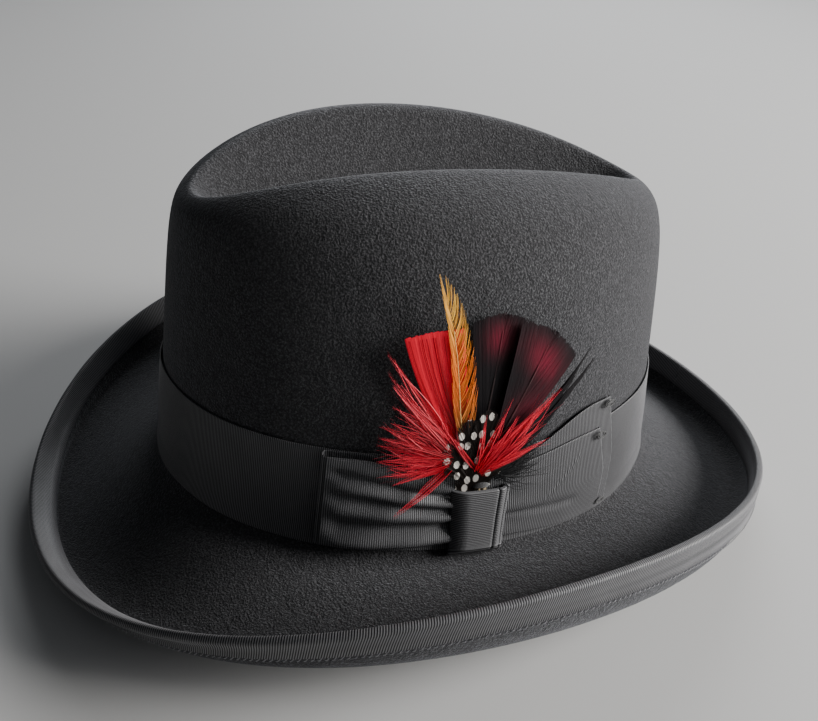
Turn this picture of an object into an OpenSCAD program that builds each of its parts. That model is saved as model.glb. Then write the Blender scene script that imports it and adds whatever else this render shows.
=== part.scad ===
// Felt homburg hat: a stiff felt body with a lengthwise dent in the crown and a
// curled, bound brim, a ribbon band with a flat side bow, a leather sweatband, a
// satin lining, and a feather spray that pushes down behind the knot of the bow.
//
// Every skin of the hat is laid off one profile that is swept round the head.
// At each angle the profile starts in the dent, climbs to the ridge, rolls over
// the shoulder, runs down the wall and out along the brim, and ends at the edge
// of the curl. Angles are 0 at the front, 90 at the wearer's left, 180 behind.

/* [Head] */
// Head circumference inside the sweatband
head_circumference = 578; // [540:1:620]
// Length of the head opening over its width
head_ratio = 1.207; // [1.1:0.005:1.3]

/* [Felt] */
// Thickness of the felt
felt_thickness = 2.4; // [1.6:0.1:3.2]
// Thickness of the felt at the edge of the brim
edge_thickness = 1.5; // [1:0.1:2.4]

/* [Crown] */
// Height of the side ridges above the brim break
crown_height = 129.6; // [100:0.2:150]
// How much lower the ridge is at the front
ridge_drop_front = 18.8; // [8:0.2:30]
// How much lower the ridge is at the front quarters
ridge_drop_front_quarter = 6.9; // [2:0.1:14]
// How much lower the ridge is at the rear quarters
ridge_drop_rear_quarter = 10; // [2:0.1:14]
// How much lower the ridge is at the back
ridge_drop_back = 19.8; // [8:0.2:30]
// Length of the loop that the ridge makes
ridge_length = 182; // [150:1:200]
// Width between the two side ridges
ridge_width = 81; // [60:1:110]
// Length of the crown at its shoulder
shoulder_length = 199.6; // [180:0.2:215]
// Width of the crown at its shoulder
shoulder_width = 151.4; // [130:0.2:180]
// Drop from the ridge to the shoulder, before the slope between them
shoulder_drop = 6.2; // [3:0.1:12]
// Fall of the top from the ridge to the shoulder, per unit of distance
shoulder_slope = 0.4; // [0.2:0.02:0.6]
// Depth of the dent below the side ridges
dent_depth = 43; // [15:0.5:55]
// Depth of the ends of the dent below the ridge
dent_end_depth = 9.6; // [4:0.2:20]
// Length of the floor of the dent
dent_length = 145.6; // [110:0.2:160]

/* [Brim] */
// Brim width at the front
brim_width_front = 49.4; // [38:0.2:70]
// Brim width at the front quarters
brim_width_front_quarter = 54.6; // [38:0.2:70]
// Brim width at the sides
brim_width_side = 48.2; // [38:0.2:70]
// Brim width at the rear quarters
brim_width_rear_quarter = 46.8; // [38:0.2:70]
// Brim width at the back
brim_width_back = 49.2; // [38:0.2:70]
// Height of the brim edge above the break at the front
edge_height_front = -21.4; // [-30:0.2:10]
// Height of the brim edge at the front quarters
edge_height_front_quarter = 1.8; // [-15:0.2:20]
// Height of the brim edge at the sides
edge_height_side = 22.6; // [0:0.2:35]
// Height of the brim edge at the rear quarters
edge_height_rear_quarter = 11.6; // [-5:0.2:30]
// Height of the brim edge at the back
edge_height_back = 0.4; // [-15:0.2:20]
// Depth of the curl at the front
curl_depth_front = 8; // [4:0.2:20]
// Depth of the curl at the sides
curl_depth_side = 22.6; // [8:0.2:30]
// Depth of the curl at the back
curl_depth_back = 13.8; // [6:0.2:25]
// How far the curl bulges past the brim width at the front
curl_bulge_front = -7; // [-12:0.2:4]
// How far the curl bulges past the brim width at the sides
curl_bulge_side = -0.6; // [-6:0.2:4]
// How far the curl bulges past the brim width at the back
curl_bulge_back = 0.6; // [-6:0.2:4]
// How far the edge leans outward past the brim width
edge_lean = 2.2; // [-2:0.2:5]

/* [Brim binding] */
// Thickness of the binding ribbon
binding_thickness = 0.5; // [0.4:0.1:1.2]
// Width of the binding on the outside of the curl
binding_outside = 11.5; // [7:0.5:16]
// Width of the binding on the inside of the curl
binding_inside = 10; // [6:0.5:14]

/* [Ribbon band] */
// Width of the grosgrain band
band_width = 38.5; // [20:0.5:45]
// Thickness of the ribbon of the band and bow
ribbon_thickness = 0.8; // [0.5:0.1:1.2]
// Height of the lower edge of the band above the brim break
band_height = 2; // [1:0.5:8]

/* [Bow] */
// Angle round the hat of the middle of the knot
bow_angle = 85; // [70:1:100]
// Length of the front loop, from the middle of the knot
front_loop_length = 54; // [40:1:60]
// Height of the front loop at its folded end
front_loop_height = 36.5; // [25:0.5:42]
// Thickness of the puffed front loop
front_loop_thickness = 3.6; // [2:0.1:6]
// Length of the outer rear leaf, from the middle of the knot
rear_leaf_length = 53; // [40:1:60]
// Height of the outer rear leaf at its end
rear_leaf_height = 35; // [25:0.5:42]
// Length of the inner rear tail, from the middle of the knot
rear_tail_length = 60; // [45:1:68]
// Height of the inner rear tail at its end
rear_tail_height = 46; // [30:0.5:50]
// Width of the knot
knot_width = 21; // [16:0.5:28]
// Height of the knot
knot_height = 25.5; // [18:0.5:32]
// Thickness of the knot ribbon, folded double
knot_thickness = 1.6; // [1:0.1:2.5]

/* [Sweatband] */
// Width of the leather sweatband
sweatband_width = 46; // [35:1:55]
// Thickness of the sweatband leather
sweatband_thickness = 1; // [0.6:0.1:1.6]
// Diameter of the reed along the lower edge of the sweatband
reed_diameter = 2; // [1.5:0.1:3]

/* [Lining] */
// Thickness of the satin lining
lining_thickness = 0.5; // [0.3:0.1:1]
// Diameter of the piping round the lining tip
piping_diameter = 2; // [1.5:0.1:3]
// Sag of the lining tip below the piping round it
lining_sag = 1.75; // [1.5:0.05:4]

/* [Feather spray] */
// Thickness of each feather layer
feather_thickness = 0.8; // [0.5:0.1:1]
// Width of the bundle of quills in the pocket behind the knot
stem_width = 6; // [4:0.5:8]
// Thickness of the bundle of quills
stem_thickness = 2.4; // [1.6:0.1:3]
// Length of the yellow hackle
yellow_length = 76; // [50:1:85]
// Length of the red quill
red_quill_length = 57; // [40:1:65]
// Length of the dark fan feathers
dark_fan_length = 58; // [40:1:65]

/* [Clearances] */
// Gap between neighbouring skins
skin_gap = 0.25; // [0.2:0.05:0.5]
// Gap round the quills in the pocket behind the knot
pocket_gap = 0.4; // [0.3:0.05:0.8]

/* [Hidden] */

angles = 64;              // facets round the hat
step = 360 / angles;
turn = 1;                 // small turn and small travel used to measure slopes
travel = 0.04;
spans = 18;               // spans of the profile curve

felt_black = [0.10, 0.10, 0.11];
ribbon_black = [0.17, 0.17, 0.19];
leather_brown = [0.20, 0.12, 0.08];
satin_black = [0.07, 0.07, 0.08];
feather_black = [0.05, 0.04, 0.05];

// ---- Ovals round the head ----

// Girth of an oval of unit half width, and the half sizes of the opening
unit_girth = PI * (3 * (head_ratio + 1) - sqrt((3 * head_ratio + 1) * (head_ratio + 3)));
half_width = head_circumference / unit_girth;
half_length = half_width * head_ratio;

// Depth of each inner skin behind the outer face of the felt
lining_depth = felt_thickness + skin_gap;
sweatband_depth = lining_depth + lining_thickness + skin_gap;
sweatband_face = sweatband_depth + sweatband_thickness;
felt_half_length = half_length + sweatband_face;
felt_half_width = half_width + sweatband_face;

function oval(a, b, t) = [b * sin(t), -a * cos(t)];
function outward(t) =
    let (n = [felt_half_length * sin(t), -felt_half_width * cos(t)]) n / norm(n);

// Smooth even series through values at the front, side and back
function around3(f, s, b, t) =
    (f + 2 * s + b) / 4 + (f - b) / 2 * cos(t) + (f - 2 * s + b) / 4 * cos(2 * t);

// The same through five values, 45 degrees apart from front to back
function around5(v, t) =
    let (a = [for (k = [0:4])
        (v[0] / 2 + v[1] * cos(45 * k) + v[2] * cos(90 * k) + v[3] * cos(135 * k)
            + v[4] / 2 * cos(180 * k)) / 2])
    a[0] / 2 + a[1] * cos(t) + a[2] * cos(2 * t) + a[3] * cos(3 * t) + a[4] / 2 * cos(4 * t);

// ---- The profile ----

ridge_heights = [for (drop = [ridge_drop_front, ridge_drop_front_quarter, 0,
    ridge_drop_rear_quarter, ridge_drop_back]) crown_height - drop];
brim_widths = [brim_width_front, brim_width_front_quarter, brim_width_side,
    brim_width_rear_quarter, brim_width_back];
edge_heights = [edge_height_front, edge_height_front_quarter, edge_height_side,
    edge_height_rear_quarter, edge_height_back];
dent_end_height = (ridge_heights[0] + ridge_heights[4]) / 2 - dent_end_depth;
dent_middle_height = crown_height - dent_depth;

function lift(p, z) = [p.x, p.y, z];

// Control points of the profile at one angle, from the dent to the brim edge
function profile(t) =
    let (
        floor_line = [0, -dent_length / 2 * cos(t)],
        ridge = oval(ridge_length / 2, ridge_width / 2, t),
        shoulder = oval(shoulder_length / 2, shoulder_width / 2, t),
        foot = oval(felt_half_length, felt_half_width, t),
        out = outward(t),
        zr = around5(ridge_heights, t),
        zd = dent_end_height + (dent_middle_height - dent_end_height) * pow(sin(t), 2),
        rise = zr - zd,
        run = norm(shoulder - ridge),
        zs = zr - shoulder_drop - shoulder_slope * run,
        w = around5(brim_widths, t),
        edge = around5(edge_heights, t),
        curl = around3(curl_depth_front, curl_depth_side, curl_depth_back, t),
        bulge = around3(curl_bulge_front, curl_bulge_side, curl_bulge_back, t),
        trough = edge - curl
    ) [
        lift(floor_line, zd),
        lift(floor_line * 0.65 + ridge * 0.35, zd + 0.12 * rise),
        lift(floor_line * 0.3 + ridge * 0.7, zd + 0.6 * rise),
        lift(floor_line * 0.1 + ridge * 0.9, zr - 0.09 * rise),
        lift(ridge, zr + 0.014 * rise),
        lift(ridge * 0.78 + shoulder * 0.22, zr - 0.045 * run),
        lift(ridge * 0.38 + shoulder * 0.62, zr - 1.5 - 0.2 * run),
        lift(shoulder, zs),
        lift(foot * 0.55 + shoulder * 0.45, zs * 0.45),
        lift(foot, 8),
        lift(foot, -0.5),
        lift(foot + out * 0.26 * w, 0.3 * trough),
        lift(foot + out * 0.58 * w, 0.8 * trough),
        lift(foot + out * (w - 6), trough - 2),
        lift(foot + out * (w + bulge), trough + 1),
        lift(foot + out * (w + bulge + 0.3 * edge_lean), trough + 0.55 * curl),
        lift(foot + out * (w + edge_lean), edge)
    ];

// Point of a profile at travel v, from 0 in the dent to spans at the edge
function control(c, i) = c[max(0, min(len(c) - 1, i - 2))];
function along(c, v) =
    let (
        s = min(floor(v), spans - 1),
        u = v - s,
        r = 1 - u
    ) (r * r * r * control(c, s) + (3 * u * u * u - 6 * u * u + 4) * control(c, s + 1)
        + (-3 * u * u * u + 3 * u * u + 3 * u + 1) * control(c, s + 2)
        + u * u * u * control(c, s + 3)) / 6;

// A station is the profile at one angle with its neighbours, to measure slopes
function station(t) = [profile(t), profile(t - turn), profile(t + turn)];

// Unit normal of the outer skin, which points out of the crown and up from the brim
function normal_at(st, v) =
    v < travel ? [0, 0, 1] :
    let (n = cross(along(st[0], min(v + travel, spans)) - along(st[0], v - travel),
        along(st[2], v) - along(st[1], v))) n / norm(n);

// Point that stands a distance d off the outer skin
function off_skin(st, v, d) = along(st[0], v) + d * normal_at(st, v);

// Travel at which the crown wall passes height z, by halving
function travel_at(c, z, lo = 5, hi = 11.3, n = 14) =
    n == 0 ? (lo + hi) / 2 :
    let (mid = (lo + hi) / 2)
    along(c, mid).z > z ? travel_at(c, z, mid, hi, n - 1) : travel_at(c, z, lo, mid, n - 1);

// Depth of the under face of the felt, which thins towards the edge of the brim
thinning_travel = 15;     // travel at which the felt starts to thin
function felt_depth(v) =
    let (u = max(0, (v - thinning_travel) / (spans - thinning_travel)))
    felt_thickness + (edge_thickness - felt_thickness) * u * u * (3 - 2 * u);

// Point that stands a distance d clear of the under face of the felt
function under_felt(st, v, d) = off_skin(st, v, -felt_depth(v) - d);

// Point off the crown wall at an angle and a height
function off_wall(t, z, d) =
    let (st = station(t)) off_skin(st, travel_at(st[0], z), d);

// Rings of the felt: close together where it turns sharply at the ridge and the break
skin_rings = concat([0, 1, 2, 3], [for (v = [3.5:0.5:9.5]) v],
    [for (v = [10:0.25:12.25]) v], [for (v = [12.5:0.5:17]) v], [spans]);

// ---- How the hat lies on a table: on the troughs of its brim, front and back ----

binding_stack = skin_gap + binding_thickness;

function underside(t) =
    let (st = station(t)) [for (v = skin_rings) if (v > 12) under_felt(st, v, 0)];
function edge_direction(st) =
    let (d = along(st[0], spans) - along(st[0], spans - 0.5)) d / norm(d);
function bound_edge(t) =
    let (st = station(t)) concat(
        [for (v = [spans - 2:0.1:spans]) under_felt(st, v, binding_stack)],
        [under_felt(st, spans, binding_stack) + binding_stack * edge_direction(st)]);
function lowest(points) =
    let (z = min([for (p = points) p.z])) [for (p = points) if (p.z == z) p][0];

front_foot = lowest(underside(0));
back_foot = lowest(underside(180));
tilt = -atan((front_foot.z - back_foot.z) / (front_foot.y - back_foot.y));
function tipped(p) = [p.x, p.y * cos(tilt) - p.z * sin(tilt), p.y * sin(tilt) + p.z * cos(tilt)];
rest_lift = -min([for (t = [0, 180], p = underside(t)) tipped(p).z]);
rest_shift = -(min([for (p = bound_edge(0)) tipped(p).y])
    + max([for (p = bound_edge(180)) tipped(p).y])) / 2;

module place() {
    translate([0, rest_shift, rest_lift]) rotate([tilt, 0, 0]) children();
}

// ---- Solids made of rings of points ----

// Two triangles across each cell between neighbouring rows a and b
function cell(a, b, c, d) = [[a, b, c], [a, c, d]];

// Closed ring of sections round the hat: points[angle][place in the section]
module ring_solid(sections) {
    m = len(sections[0]);
    n = len(sections);
    polyhedron(
        points = [for (s = sections) each s],
        faces = [for (i = [0:n - 1], j = [0:m - 1])
            let (i2 = (i + 1) % n, j2 = (j + 1) % m)
            each cell(i * m + j, i2 * m + j, i2 * m + j2, i * m + j2)]);
}

// Open run of sections, capped at both ends
module run_solid(sections) {
    m = len(sections[0]);
    n = len(sections);
    polyhedron(
        points = [for (s = sections) each s],
        faces = concat(
            [for (i = [0:n - 2], j = [0:m - 1])
                let (j2 = (j + 1) % m)
                each cell(i * m + j, (i + 1) * m + j, (i + 1) * m + j2, i * m + j2)],
            [for (j = [1:m / 2 - 1]) each
                cell(j - 1, j, m - 1 - j, m - j)],
            [for (j = [1:m / 2 - 1]) each let (e = (n - 1) * m)
                cell(e + m - j, e + m - 1 - j, e + j, e + j - 1)]));
}

// Bowl that is closed in the dent: the first ring of each skin folds flat there
module bowl_solid(upper, lower) {
    rows = concat(upper, [for (i = [len(lower) - 1:-1:0]) lower[i]]);
    n = angles;
    last = len(rows) - 1;
    function at(r, i) = let (k = (i + n) % n) r * n
        + (r == 0 || r == last ? min(k, n - k) : k);
    polyhedron(
        points = [for (row = rows) each row],
        faces = [for (r = [0:last - 1], i = [0:n - 1])
            each [for (f = cell(at(r, i), at(r, i + 1), at(r + 1, i + 1), at(r + 1, i)))
                if (f[0] != f[1] && f[1] != f[2] && f[0] != f[2]) f]]);
}

// An edge of a skin is ["z", height on the wall] or ["v", travel along the profile]
function travel_of(st, edge) = edge[0] == "z" ? travel_at(st[0], edge[1]) : edge[1];

// Skin of the hat between two edges and two distances off the felt, as a closed band
module skin_ring(top, low, near, far, rows) {
    ring_solid([for (i = [0:angles - 1])
        let (
            st = station(i * step),
            v0 = travel_of(st, top),
            v1 = travel_of(st, low)
        ) concat(
            [for (k = [0:rows]) off_skin(st, v0 + (v1 - v0) * k / rows, near)],
            [for (k = [rows:-1:0]) off_skin(st, v0 + (v1 - v0) * k / rows, far)])]);
}

// Round cord along the hat at travel v and distance d off the skin
module skin_cord(v, d, r, sides) {
    ring_solid([for (i = [0:angles - 1])
        let (
            st = station(i * step),
            n = normal_at(st, v),
            p = along(st[0], v) + d * n,
            g = along(st[2], v) - along(st[1], v),
            b = cross(g / norm(g), n)
        ) [for (k = [0:sides - 1])
            p + r * (n * cos(360 * k / sides) + b * sin(360 * k / sides))]]);
}

// ---- Pieces laid on the crown wall, in millimetres along it from the knot ----

wall_rate = felt_half_length * PI / 180 * 0.975;
function wall_angle(s) = bow_angle + s / wall_rate;
function on_wall(s, z, d) = off_wall(wall_angle(s), z, d);

// Patch of cloth: each column is [s, low z, high z, near offset, far offset]
module wall_patch(columns, rows) {
    run_solid([for (c = columns) concat(
        [for (k = [0:rows]) on_wall(c[0], c[1] + (c[2] - c[1]) * k / rows, c[4])],
        [for (k = [rows:-1:0]) on_wall(c[0], c[1] + (c[2] - c[1]) * k / rows, c[3])])]);
}

// Feather blade from a foot, leaning by an angle, with half widths along it, and its
// tip bent sideways
module blade(foot, lean, length, widths, near, thickness = feather_thickness, bend = 0) {
    u = [sin(lean), cos(lean)];
    side = [cos(lean), -sin(lean)];
    n = len(widths) - 1;
    rows = 2;
    run_solid([for (i = [0:n])
        let (c = foot + u * length * i / n + side * bend * pow(i / n, 4), w = side * widths[i])
        concat(
            [for (k = [-rows:rows]) let (q = c - w * k / rows) on_wall(q[0], q[1], near + thickness)],
            [for (k = [rows:-1:-rows]) let (q = c - w * k / rows) on_wall(q[0], q[1], near)])]);
}

// ---- Felt ----

module felt_body() {
    stations = [for (i = [0:angles - 1]) station(i * step)];
    color(felt_black) place() bowl_solid(
        [for (v = skin_rings) [for (st = stations) off_skin(st, v, 0)]],
        [for (v = skin_rings) [for (st = stations) under_felt(st, v, 0)]]);
}

// ---- Binding round the edge ----

// Travel that lies a given distance back from the edge, along the top or under face
function edge_run(st, reach, under, n = 60) =
    let (
        v = [for (k = [0:n]) spans - k * 0.1],
        p = [for (x = v) under ? under_felt(st, x, 0) : off_skin(st, x, 0)],
        hops = [for (k = [1:n]) norm(p[k] - p[k - 1])]
    ) edge_search(v, hops, reach, 0, 0);
function edge_search(v, hops, reach, done, k) =
    k >= len(hops) - 1 || done + hops[k] >= reach
        ? v[k] + (v[k + 1] - v[k]) * (reach - done) / hops[k]
        : edge_search(v, hops, reach, done + hops[k], k + 1);

// Half of the binding's section at distance d off the felt, from inside to outside
function binding_line(st, d, rows) =
    let (
        v_in = edge_run(st, binding_inside, false),
        v_out = edge_run(st, binding_outside, true),
        e = edge_direction(st) * d
    ) concat(
        [for (k = [0:rows]) off_skin(st, v_in + (spans - v_in) * k / rows, d)
            + (k == rows ? e : [0, 0, 0])],
        [for (k = [rows:-1:0]) under_felt(st, v_out + (spans - v_out) * k / rows, d)
            + (k == rows ? e : [0, 0, 0])]);

module brim_binding() {
    rows = 5;
    color(ribbon_black) place() ring_solid([for (i = [0:angles - 1])
        let (
            st = station(i * step),
            outer = binding_line(st, skin_gap + binding_thickness, rows),
            inner = binding_line(st, skin_gap, rows)
        ) concat(inner, [for (k = [len(outer) - 1:-1:0]) outer[k]])]);
}

thread_radius = 0.3;
module binding_thread() {
    sides = 4;
    color(ribbon_black) place() ring_solid([for (i = [0:angles - 1])
        let (
            st = station(i * step),
            v = edge_run(st, binding_outside + 2 * thread_radius + skin_gap, true),
            n = normal_at(st, v),
            p = under_felt(st, v, skin_gap / 2 + thread_radius),
            g = along(st[2], v) - along(st[1], v),
            b = cross(g / norm(g), n)
        ) [for (k = [0:sides - 1])
            p + thread_radius * (n * cos(360 * k / sides) + b * sin(360 * k / sides))]]);
}

// ---- Ribbon band and bow ----

band_top = band_height + band_width;
band_face = skin_gap + ribbon_thickness;

module ribbon_band() {
    color(ribbon_black) place()
        skin_ring(["z", band_top], ["z", band_height], band_face, skin_gap, 6);
}

// Layers of the bow, counted out from the face of the band
tail_near = band_face + skin_gap;
leaf_near = tail_near + ribbon_thickness + skin_gap;
loop_near = tail_near;
gathers_face = leaf_near + ribbon_thickness;
pinch_height = 27.5;
pinch_foot = band_height + 4;
bow_foot = band_height + 1;
knot_foot = band_height;
pinch_half = knot_width / 2;

// Loop that starts just short of the middle of the knot, narrow where it is pinched
module bow_front_loop() {
    n = 10;
    start = -skin_gap;
    color(ribbon_black) place() wall_patch([for (i = [0:n])
        let (
            s = start - (front_loop_length + start) * i / n,
            open = min(1, max(0, (-s - pinch_half * 0.6) / (front_loop_length * 0.6))),
            fan = open * open * (3 - 2 * open),
            puff = sin(180 * pow(i / n, 0.9)),
            low = pinch_foot + (bow_foot - pinch_foot) * fan,
            high = pinch_foot + pinch_height
                + (bow_foot + front_loop_height - pinch_foot - pinch_height) * fan,
            pinned = gathers_face - loop_near
        ) [s, low, high, loop_near,
            loop_near + max(1.2, pinned + (front_loop_thickness - pinned) * fan * (0.4 + 0.6 * puff))]], 3);
}

// Flat rear piece of ribbon that fans out from the knot
module rear_piece(length, height, near) {
    n = 8;
    color(ribbon_black) place() wall_patch([for (i = [0:n])
        let (
            s = skin_gap + (length - skin_gap) * i / n,
            open = min(1, max(0, (s - pinch_half * 0.6) / (length * 0.8))),
            fan = open * open * (3 - 2 * open),
            low = pinch_foot + (bow_foot - pinch_foot) * fan,
            high = pinch_foot + pinch_height + (bow_foot + height - pinch_foot - pinch_height) * fan
        ) [s, low, high, near, near + ribbon_thickness]], 3);
}
module bow_rear_tail() rear_piece(rear_tail_length, rear_tail_height, tail_near);
module bow_rear_leaf() rear_piece(rear_leaf_length, rear_leaf_height, leaf_near);

// The quills stand in the pocket between the gathers and the knot
stem_near = gathers_face + pocket_gap;
pocket_face = stem_near + stem_thickness + pocket_gap;
knot_top = knot_foot + knot_height;

module bow_knot() {
    n = 10;
    color(ribbon_black) place() wall_patch([for (i = [0:n])
        let (
            s = knot_width * (i / n - 0.5),
            arch = pow(cos(90 * min(1, max(0, (abs(s) - stem_width / 2 - pocket_gap)
                / (knot_width / 2 - stem_width / 2 - pocket_gap)))), 0.8),
            near = gathers_face + skin_gap + (pocket_face - gathers_face - skin_gap) * arch
        ) [s, knot_foot, knot_top, near, near + knot_thickness]], 3);
}

// Hand stitches that hold the rear pieces flat
module bow_tack_threads() {
    tacks = [[rear_leaf_length - 3, bow_foot + 3], [rear_leaf_length - 3, bow_foot + rear_leaf_height - 4],
        [rear_leaf_length - 2, bow_foot + rear_leaf_height / 2]];
    near = leaf_near + ribbon_thickness + skin_gap;
    color("black") place() for (p = tacks)
        wall_patch([for (ds = [-1.1, 1.1])
            [p[0] + ds, p[1] - 0.4, p[1] + 0.4, near, near + 0.5]], 1);
}

// ---- Sweatband ----

sweatband_foot = 10.7;    // travel of its lower edge, just inside the brim break
sweatband_top = 3.5 + sweatband_width;

module sweatband() {
    color(leather_brown) place()
        skin_ring(["z", sweatband_top], ["v", sweatband_foot], -sweatband_depth, -sweatband_face, 5);
}
module sweatband_reed() {
    color(leather_brown) place()
        skin_cord(11.1, -felt_thickness - skin_gap - reed_diameter / 2, reed_diameter / 2, 6);
}
module sweatband_thread() {
    color("dimgray") place()
        skin_cord(10.45, -sweatband_face - skin_gap / 2 - thread_radius, thread_radius, 4);
}

// Tape over the join of the sweatband, at the back, and the small bow on it
tape_width = 9;
tape_depth = sweatband_face + skin_gap;
tape_thickness = 0.6;
tape_low = 9;
function behind(s, z, d) = off_wall(180 + s / (felt_half_width * PI / 180), z, -d);
module sweatband_seam_tape() {
    n = 4;
    top = sweatband_top - 3;
    color(satin_black) place() run_solid([for (i = [0:n])
        let (s = tape_width * (0.5 - i / n))
        [behind(s, tape_low, tape_depth), behind(s, top, tape_depth),
            behind(s, top, tape_depth + tape_thickness),
            behind(s, tape_low, tape_depth + tape_thickness)]]);
}
bow_depth = tape_depth + tape_thickness + skin_gap;
module sweatband_bow() {
    half = 11;
    waist = 1.6;
    loop = 4;
    middle = tape_low + 9;
    n = 10;
    color(satin_black) place() run_solid([for (i = [0:n])
        let (
            s = half * (1 - 2 * i / n),
            h = waist + (loop - waist) * sin(min(90, 90 * abs(s) / half * 1.3)),
            far = bow_depth + 0.9
        ) [behind(s, middle - h, bow_depth), behind(s, middle + h, bow_depth),
            behind(s, middle + h, far), behind(s, middle - h, far)]]);
}

// ---- Lining ----

tip_edge = 6.2;           // travel where the tip ends, inside the shoulder
side_top = 7;
lining_low = 12;
module lining_side() {
    color(satin_black) place()
        skin_ring(["v", side_top], ["z", lining_low], -lining_depth,
            -lining_depth - lining_thickness, 6);
}
tip_rings = [0, 1, 2, 2.75, 3.5, 4.25, 5, 5.6, tip_edge];
tip_drop = lining_depth + piping_diameter + lining_sag;
module lining_tip() {
    stations = [for (i = [0:angles - 1]) station(i * step)];
    color(satin_black) place() bowl_solid(
        [for (v = tip_rings) [for (st = stations) along(st[0], v) - [0, 0, tip_drop]]],
        [for (v = tip_rings) [for (st = stations)
            along(st[0], v) - [0, 0, tip_drop + lining_thickness]]]);
}
module lining_piping() {
    color(satin_black) place()
        skin_cord(6.6, -felt_thickness - skin_gap - piping_diameter / 2, piping_diameter / 2, 6);
}

// ---- Feather spray ----

// Feather layers, counted out from the bow so that none runs through another
layer = feather_thickness + 0.3;
spray_foot = knot_top + 1.2;
function layer_near(k) = stem_near + 0.2 + layer * k;

module feather_stem() {
    low = knot_foot + 4;
    n = 4;
    color("tan") place() wall_patch([for (i = [0:n])
        [stem_width * (i / n - 0.5), low, spray_foot - 0.3, stem_near, stem_near + stem_thickness]], 3);
}
module feather_tied_base() {
    n = 4;
    color("black") place() wall_patch([for (i = [0:n])
        [(stem_width + 1) * (i / n - 0.5), spray_foot, spray_foot + 3,
            stem_near, stem_near + stem_thickness + 0.4]], 1);
}
blade_foot = spray_foot + 3.4;
module feather_yellow() {
    color("goldenrod") place() blade([-2.5, blade_foot], -7, yellow_length,
        [1.2, 1.6, 2.2, 3, 4, 5, 5.2, 3.6, 1], layer_near(2), bend = -9);
}
module feather_red_quill() {
    color("firebrick") place() blade([-5, blade_foot + 4], -20, red_quill_length - 6,
        [0.8, 1.2, 2, 3.4, 5, 6.6, 7.4], layer_near(1));
}
module feather_dark_front() {
    color(feather_black) place() blade([0.5, blade_foot], 7, dark_fan_length,
        [1, 2.5, 5, 7.6, 10, 12, 11], layer_near(0));
}
module feather_dark_rear() {
    color(feather_black) place() blade([4, blade_foot + 1], 34, dark_fan_length * 0.96,
        [1, 2.5, 5, 7.5, 9.5, 11, 9], layer_near(2));
}
module feather_black_biot() {
    color(feather_black) place() blade([8, blade_foot + 6], 54, 48,
        [0.8, 1.4, 1.8, 1.8, 1], layer_near(1));
}
module hackle_red_front() {
    color("crimson") place() blade([-7, blade_foot + 1], -68, 29,
        [2, 8, 14, 19, 23], layer_near(3), feather_thickness * 1.4);
}
module hackle_red_rear() {
    color("crimson") place() blade([7, blade_foot + 2], 52, 28,
        [2, 5, 8, 9, 6], layer_near(3), feather_thickness * 1.4);
}
module feather_guinea() {
    color("dimgray") place() blade([-1.5, blade_foot - 2], -4, 25,
        [4, 9, 11, 10.5, 5], layer_near(4) + feather_thickness * 0.4 + 0.3, 1.4);
}
module marabou_fluff() {
    color(feather_black) place() blade([knot_width / 2 + 3.5, knot_top - 1], 40, 12,
        [2, 4, 4.5, 3], layer_near(1), 1.7);
}

felt_body();
ribbon_band();
bow_front_loop();
bow_rear_leaf();
bow_rear_tail();
bow_knot();
bow_tack_threads();
brim_binding();
binding_thread();
sweatband();
sweatband_reed();
sweatband_thread();
sweatband_seam_tape();
sweatband_bow();
lining_side();
lining_tip();
lining_piping();
feather_stem();
feather_tied_base();
feather_yellow();
feather_red_quill();
feather_dark_front();
feather_dark_rear();
feather_black_biot();
hackle_red_front();
hackle_red_rear();
feather_guinea();
marabou_fluff();
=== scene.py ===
import math

import bmesh
import bpy
import numpy as np
from mathutils import Matrix, Vector
from mathutils.bvhtree import BVHTree


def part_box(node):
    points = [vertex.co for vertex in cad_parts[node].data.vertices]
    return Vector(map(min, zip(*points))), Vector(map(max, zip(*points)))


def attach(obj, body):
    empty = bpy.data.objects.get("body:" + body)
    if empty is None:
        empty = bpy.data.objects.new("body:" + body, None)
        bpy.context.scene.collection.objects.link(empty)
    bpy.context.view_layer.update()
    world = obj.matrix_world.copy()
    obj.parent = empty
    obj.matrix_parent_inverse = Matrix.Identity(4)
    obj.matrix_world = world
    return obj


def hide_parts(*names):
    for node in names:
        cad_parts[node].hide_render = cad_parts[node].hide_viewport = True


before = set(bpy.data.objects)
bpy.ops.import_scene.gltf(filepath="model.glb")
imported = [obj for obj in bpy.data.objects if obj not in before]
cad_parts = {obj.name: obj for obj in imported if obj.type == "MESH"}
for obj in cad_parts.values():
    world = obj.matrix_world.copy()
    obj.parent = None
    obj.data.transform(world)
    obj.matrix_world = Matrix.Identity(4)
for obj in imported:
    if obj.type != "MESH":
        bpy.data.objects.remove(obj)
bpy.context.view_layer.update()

# Felt homburg with a ribbon band, a bow and a feather spray. Lengths are in metres.

MM = 0.001
HAT = "hat"
SPRAY = "feather_spray"
rng = np.random.default_rng(7)

# ---- sizes

BAND_LOW = 2.0 * MM       # the band's lower edge stands this far above the break
BAND_WIDE = 38.5 * MM
BAND_OFF = 0.6 * MM       # from the felt to the middle of the band
FINE_RIB = 0.72 * MM      # from one rib to the next in the ribbon of the band and the bow
BROAD_RIB = 0.89 * MM     # and in the binding of the brim
RIB_STEPS = 4             # columns of mesh to a rib
BINDING_STEPS = 3         # the same in the long binding
BINDING_EDGE = 0.5 * MM   # thickness of the CAD binding at its two long edges
BINDING_CORE = 0.35 * MM  # the binding's middle lies this far inside the CAD binding's face
BINDING_SLANT = 0.12      # how far its ribs lean along it, for each metre across
SELVAGE = np.array([0, 0.12, 0.35, 0.8]) * MM   # columns of mesh beside a ribbon's edge
RIBBON_ROLL = 0.3 * MM    # width of the rounded edge of a ribbon

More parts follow.
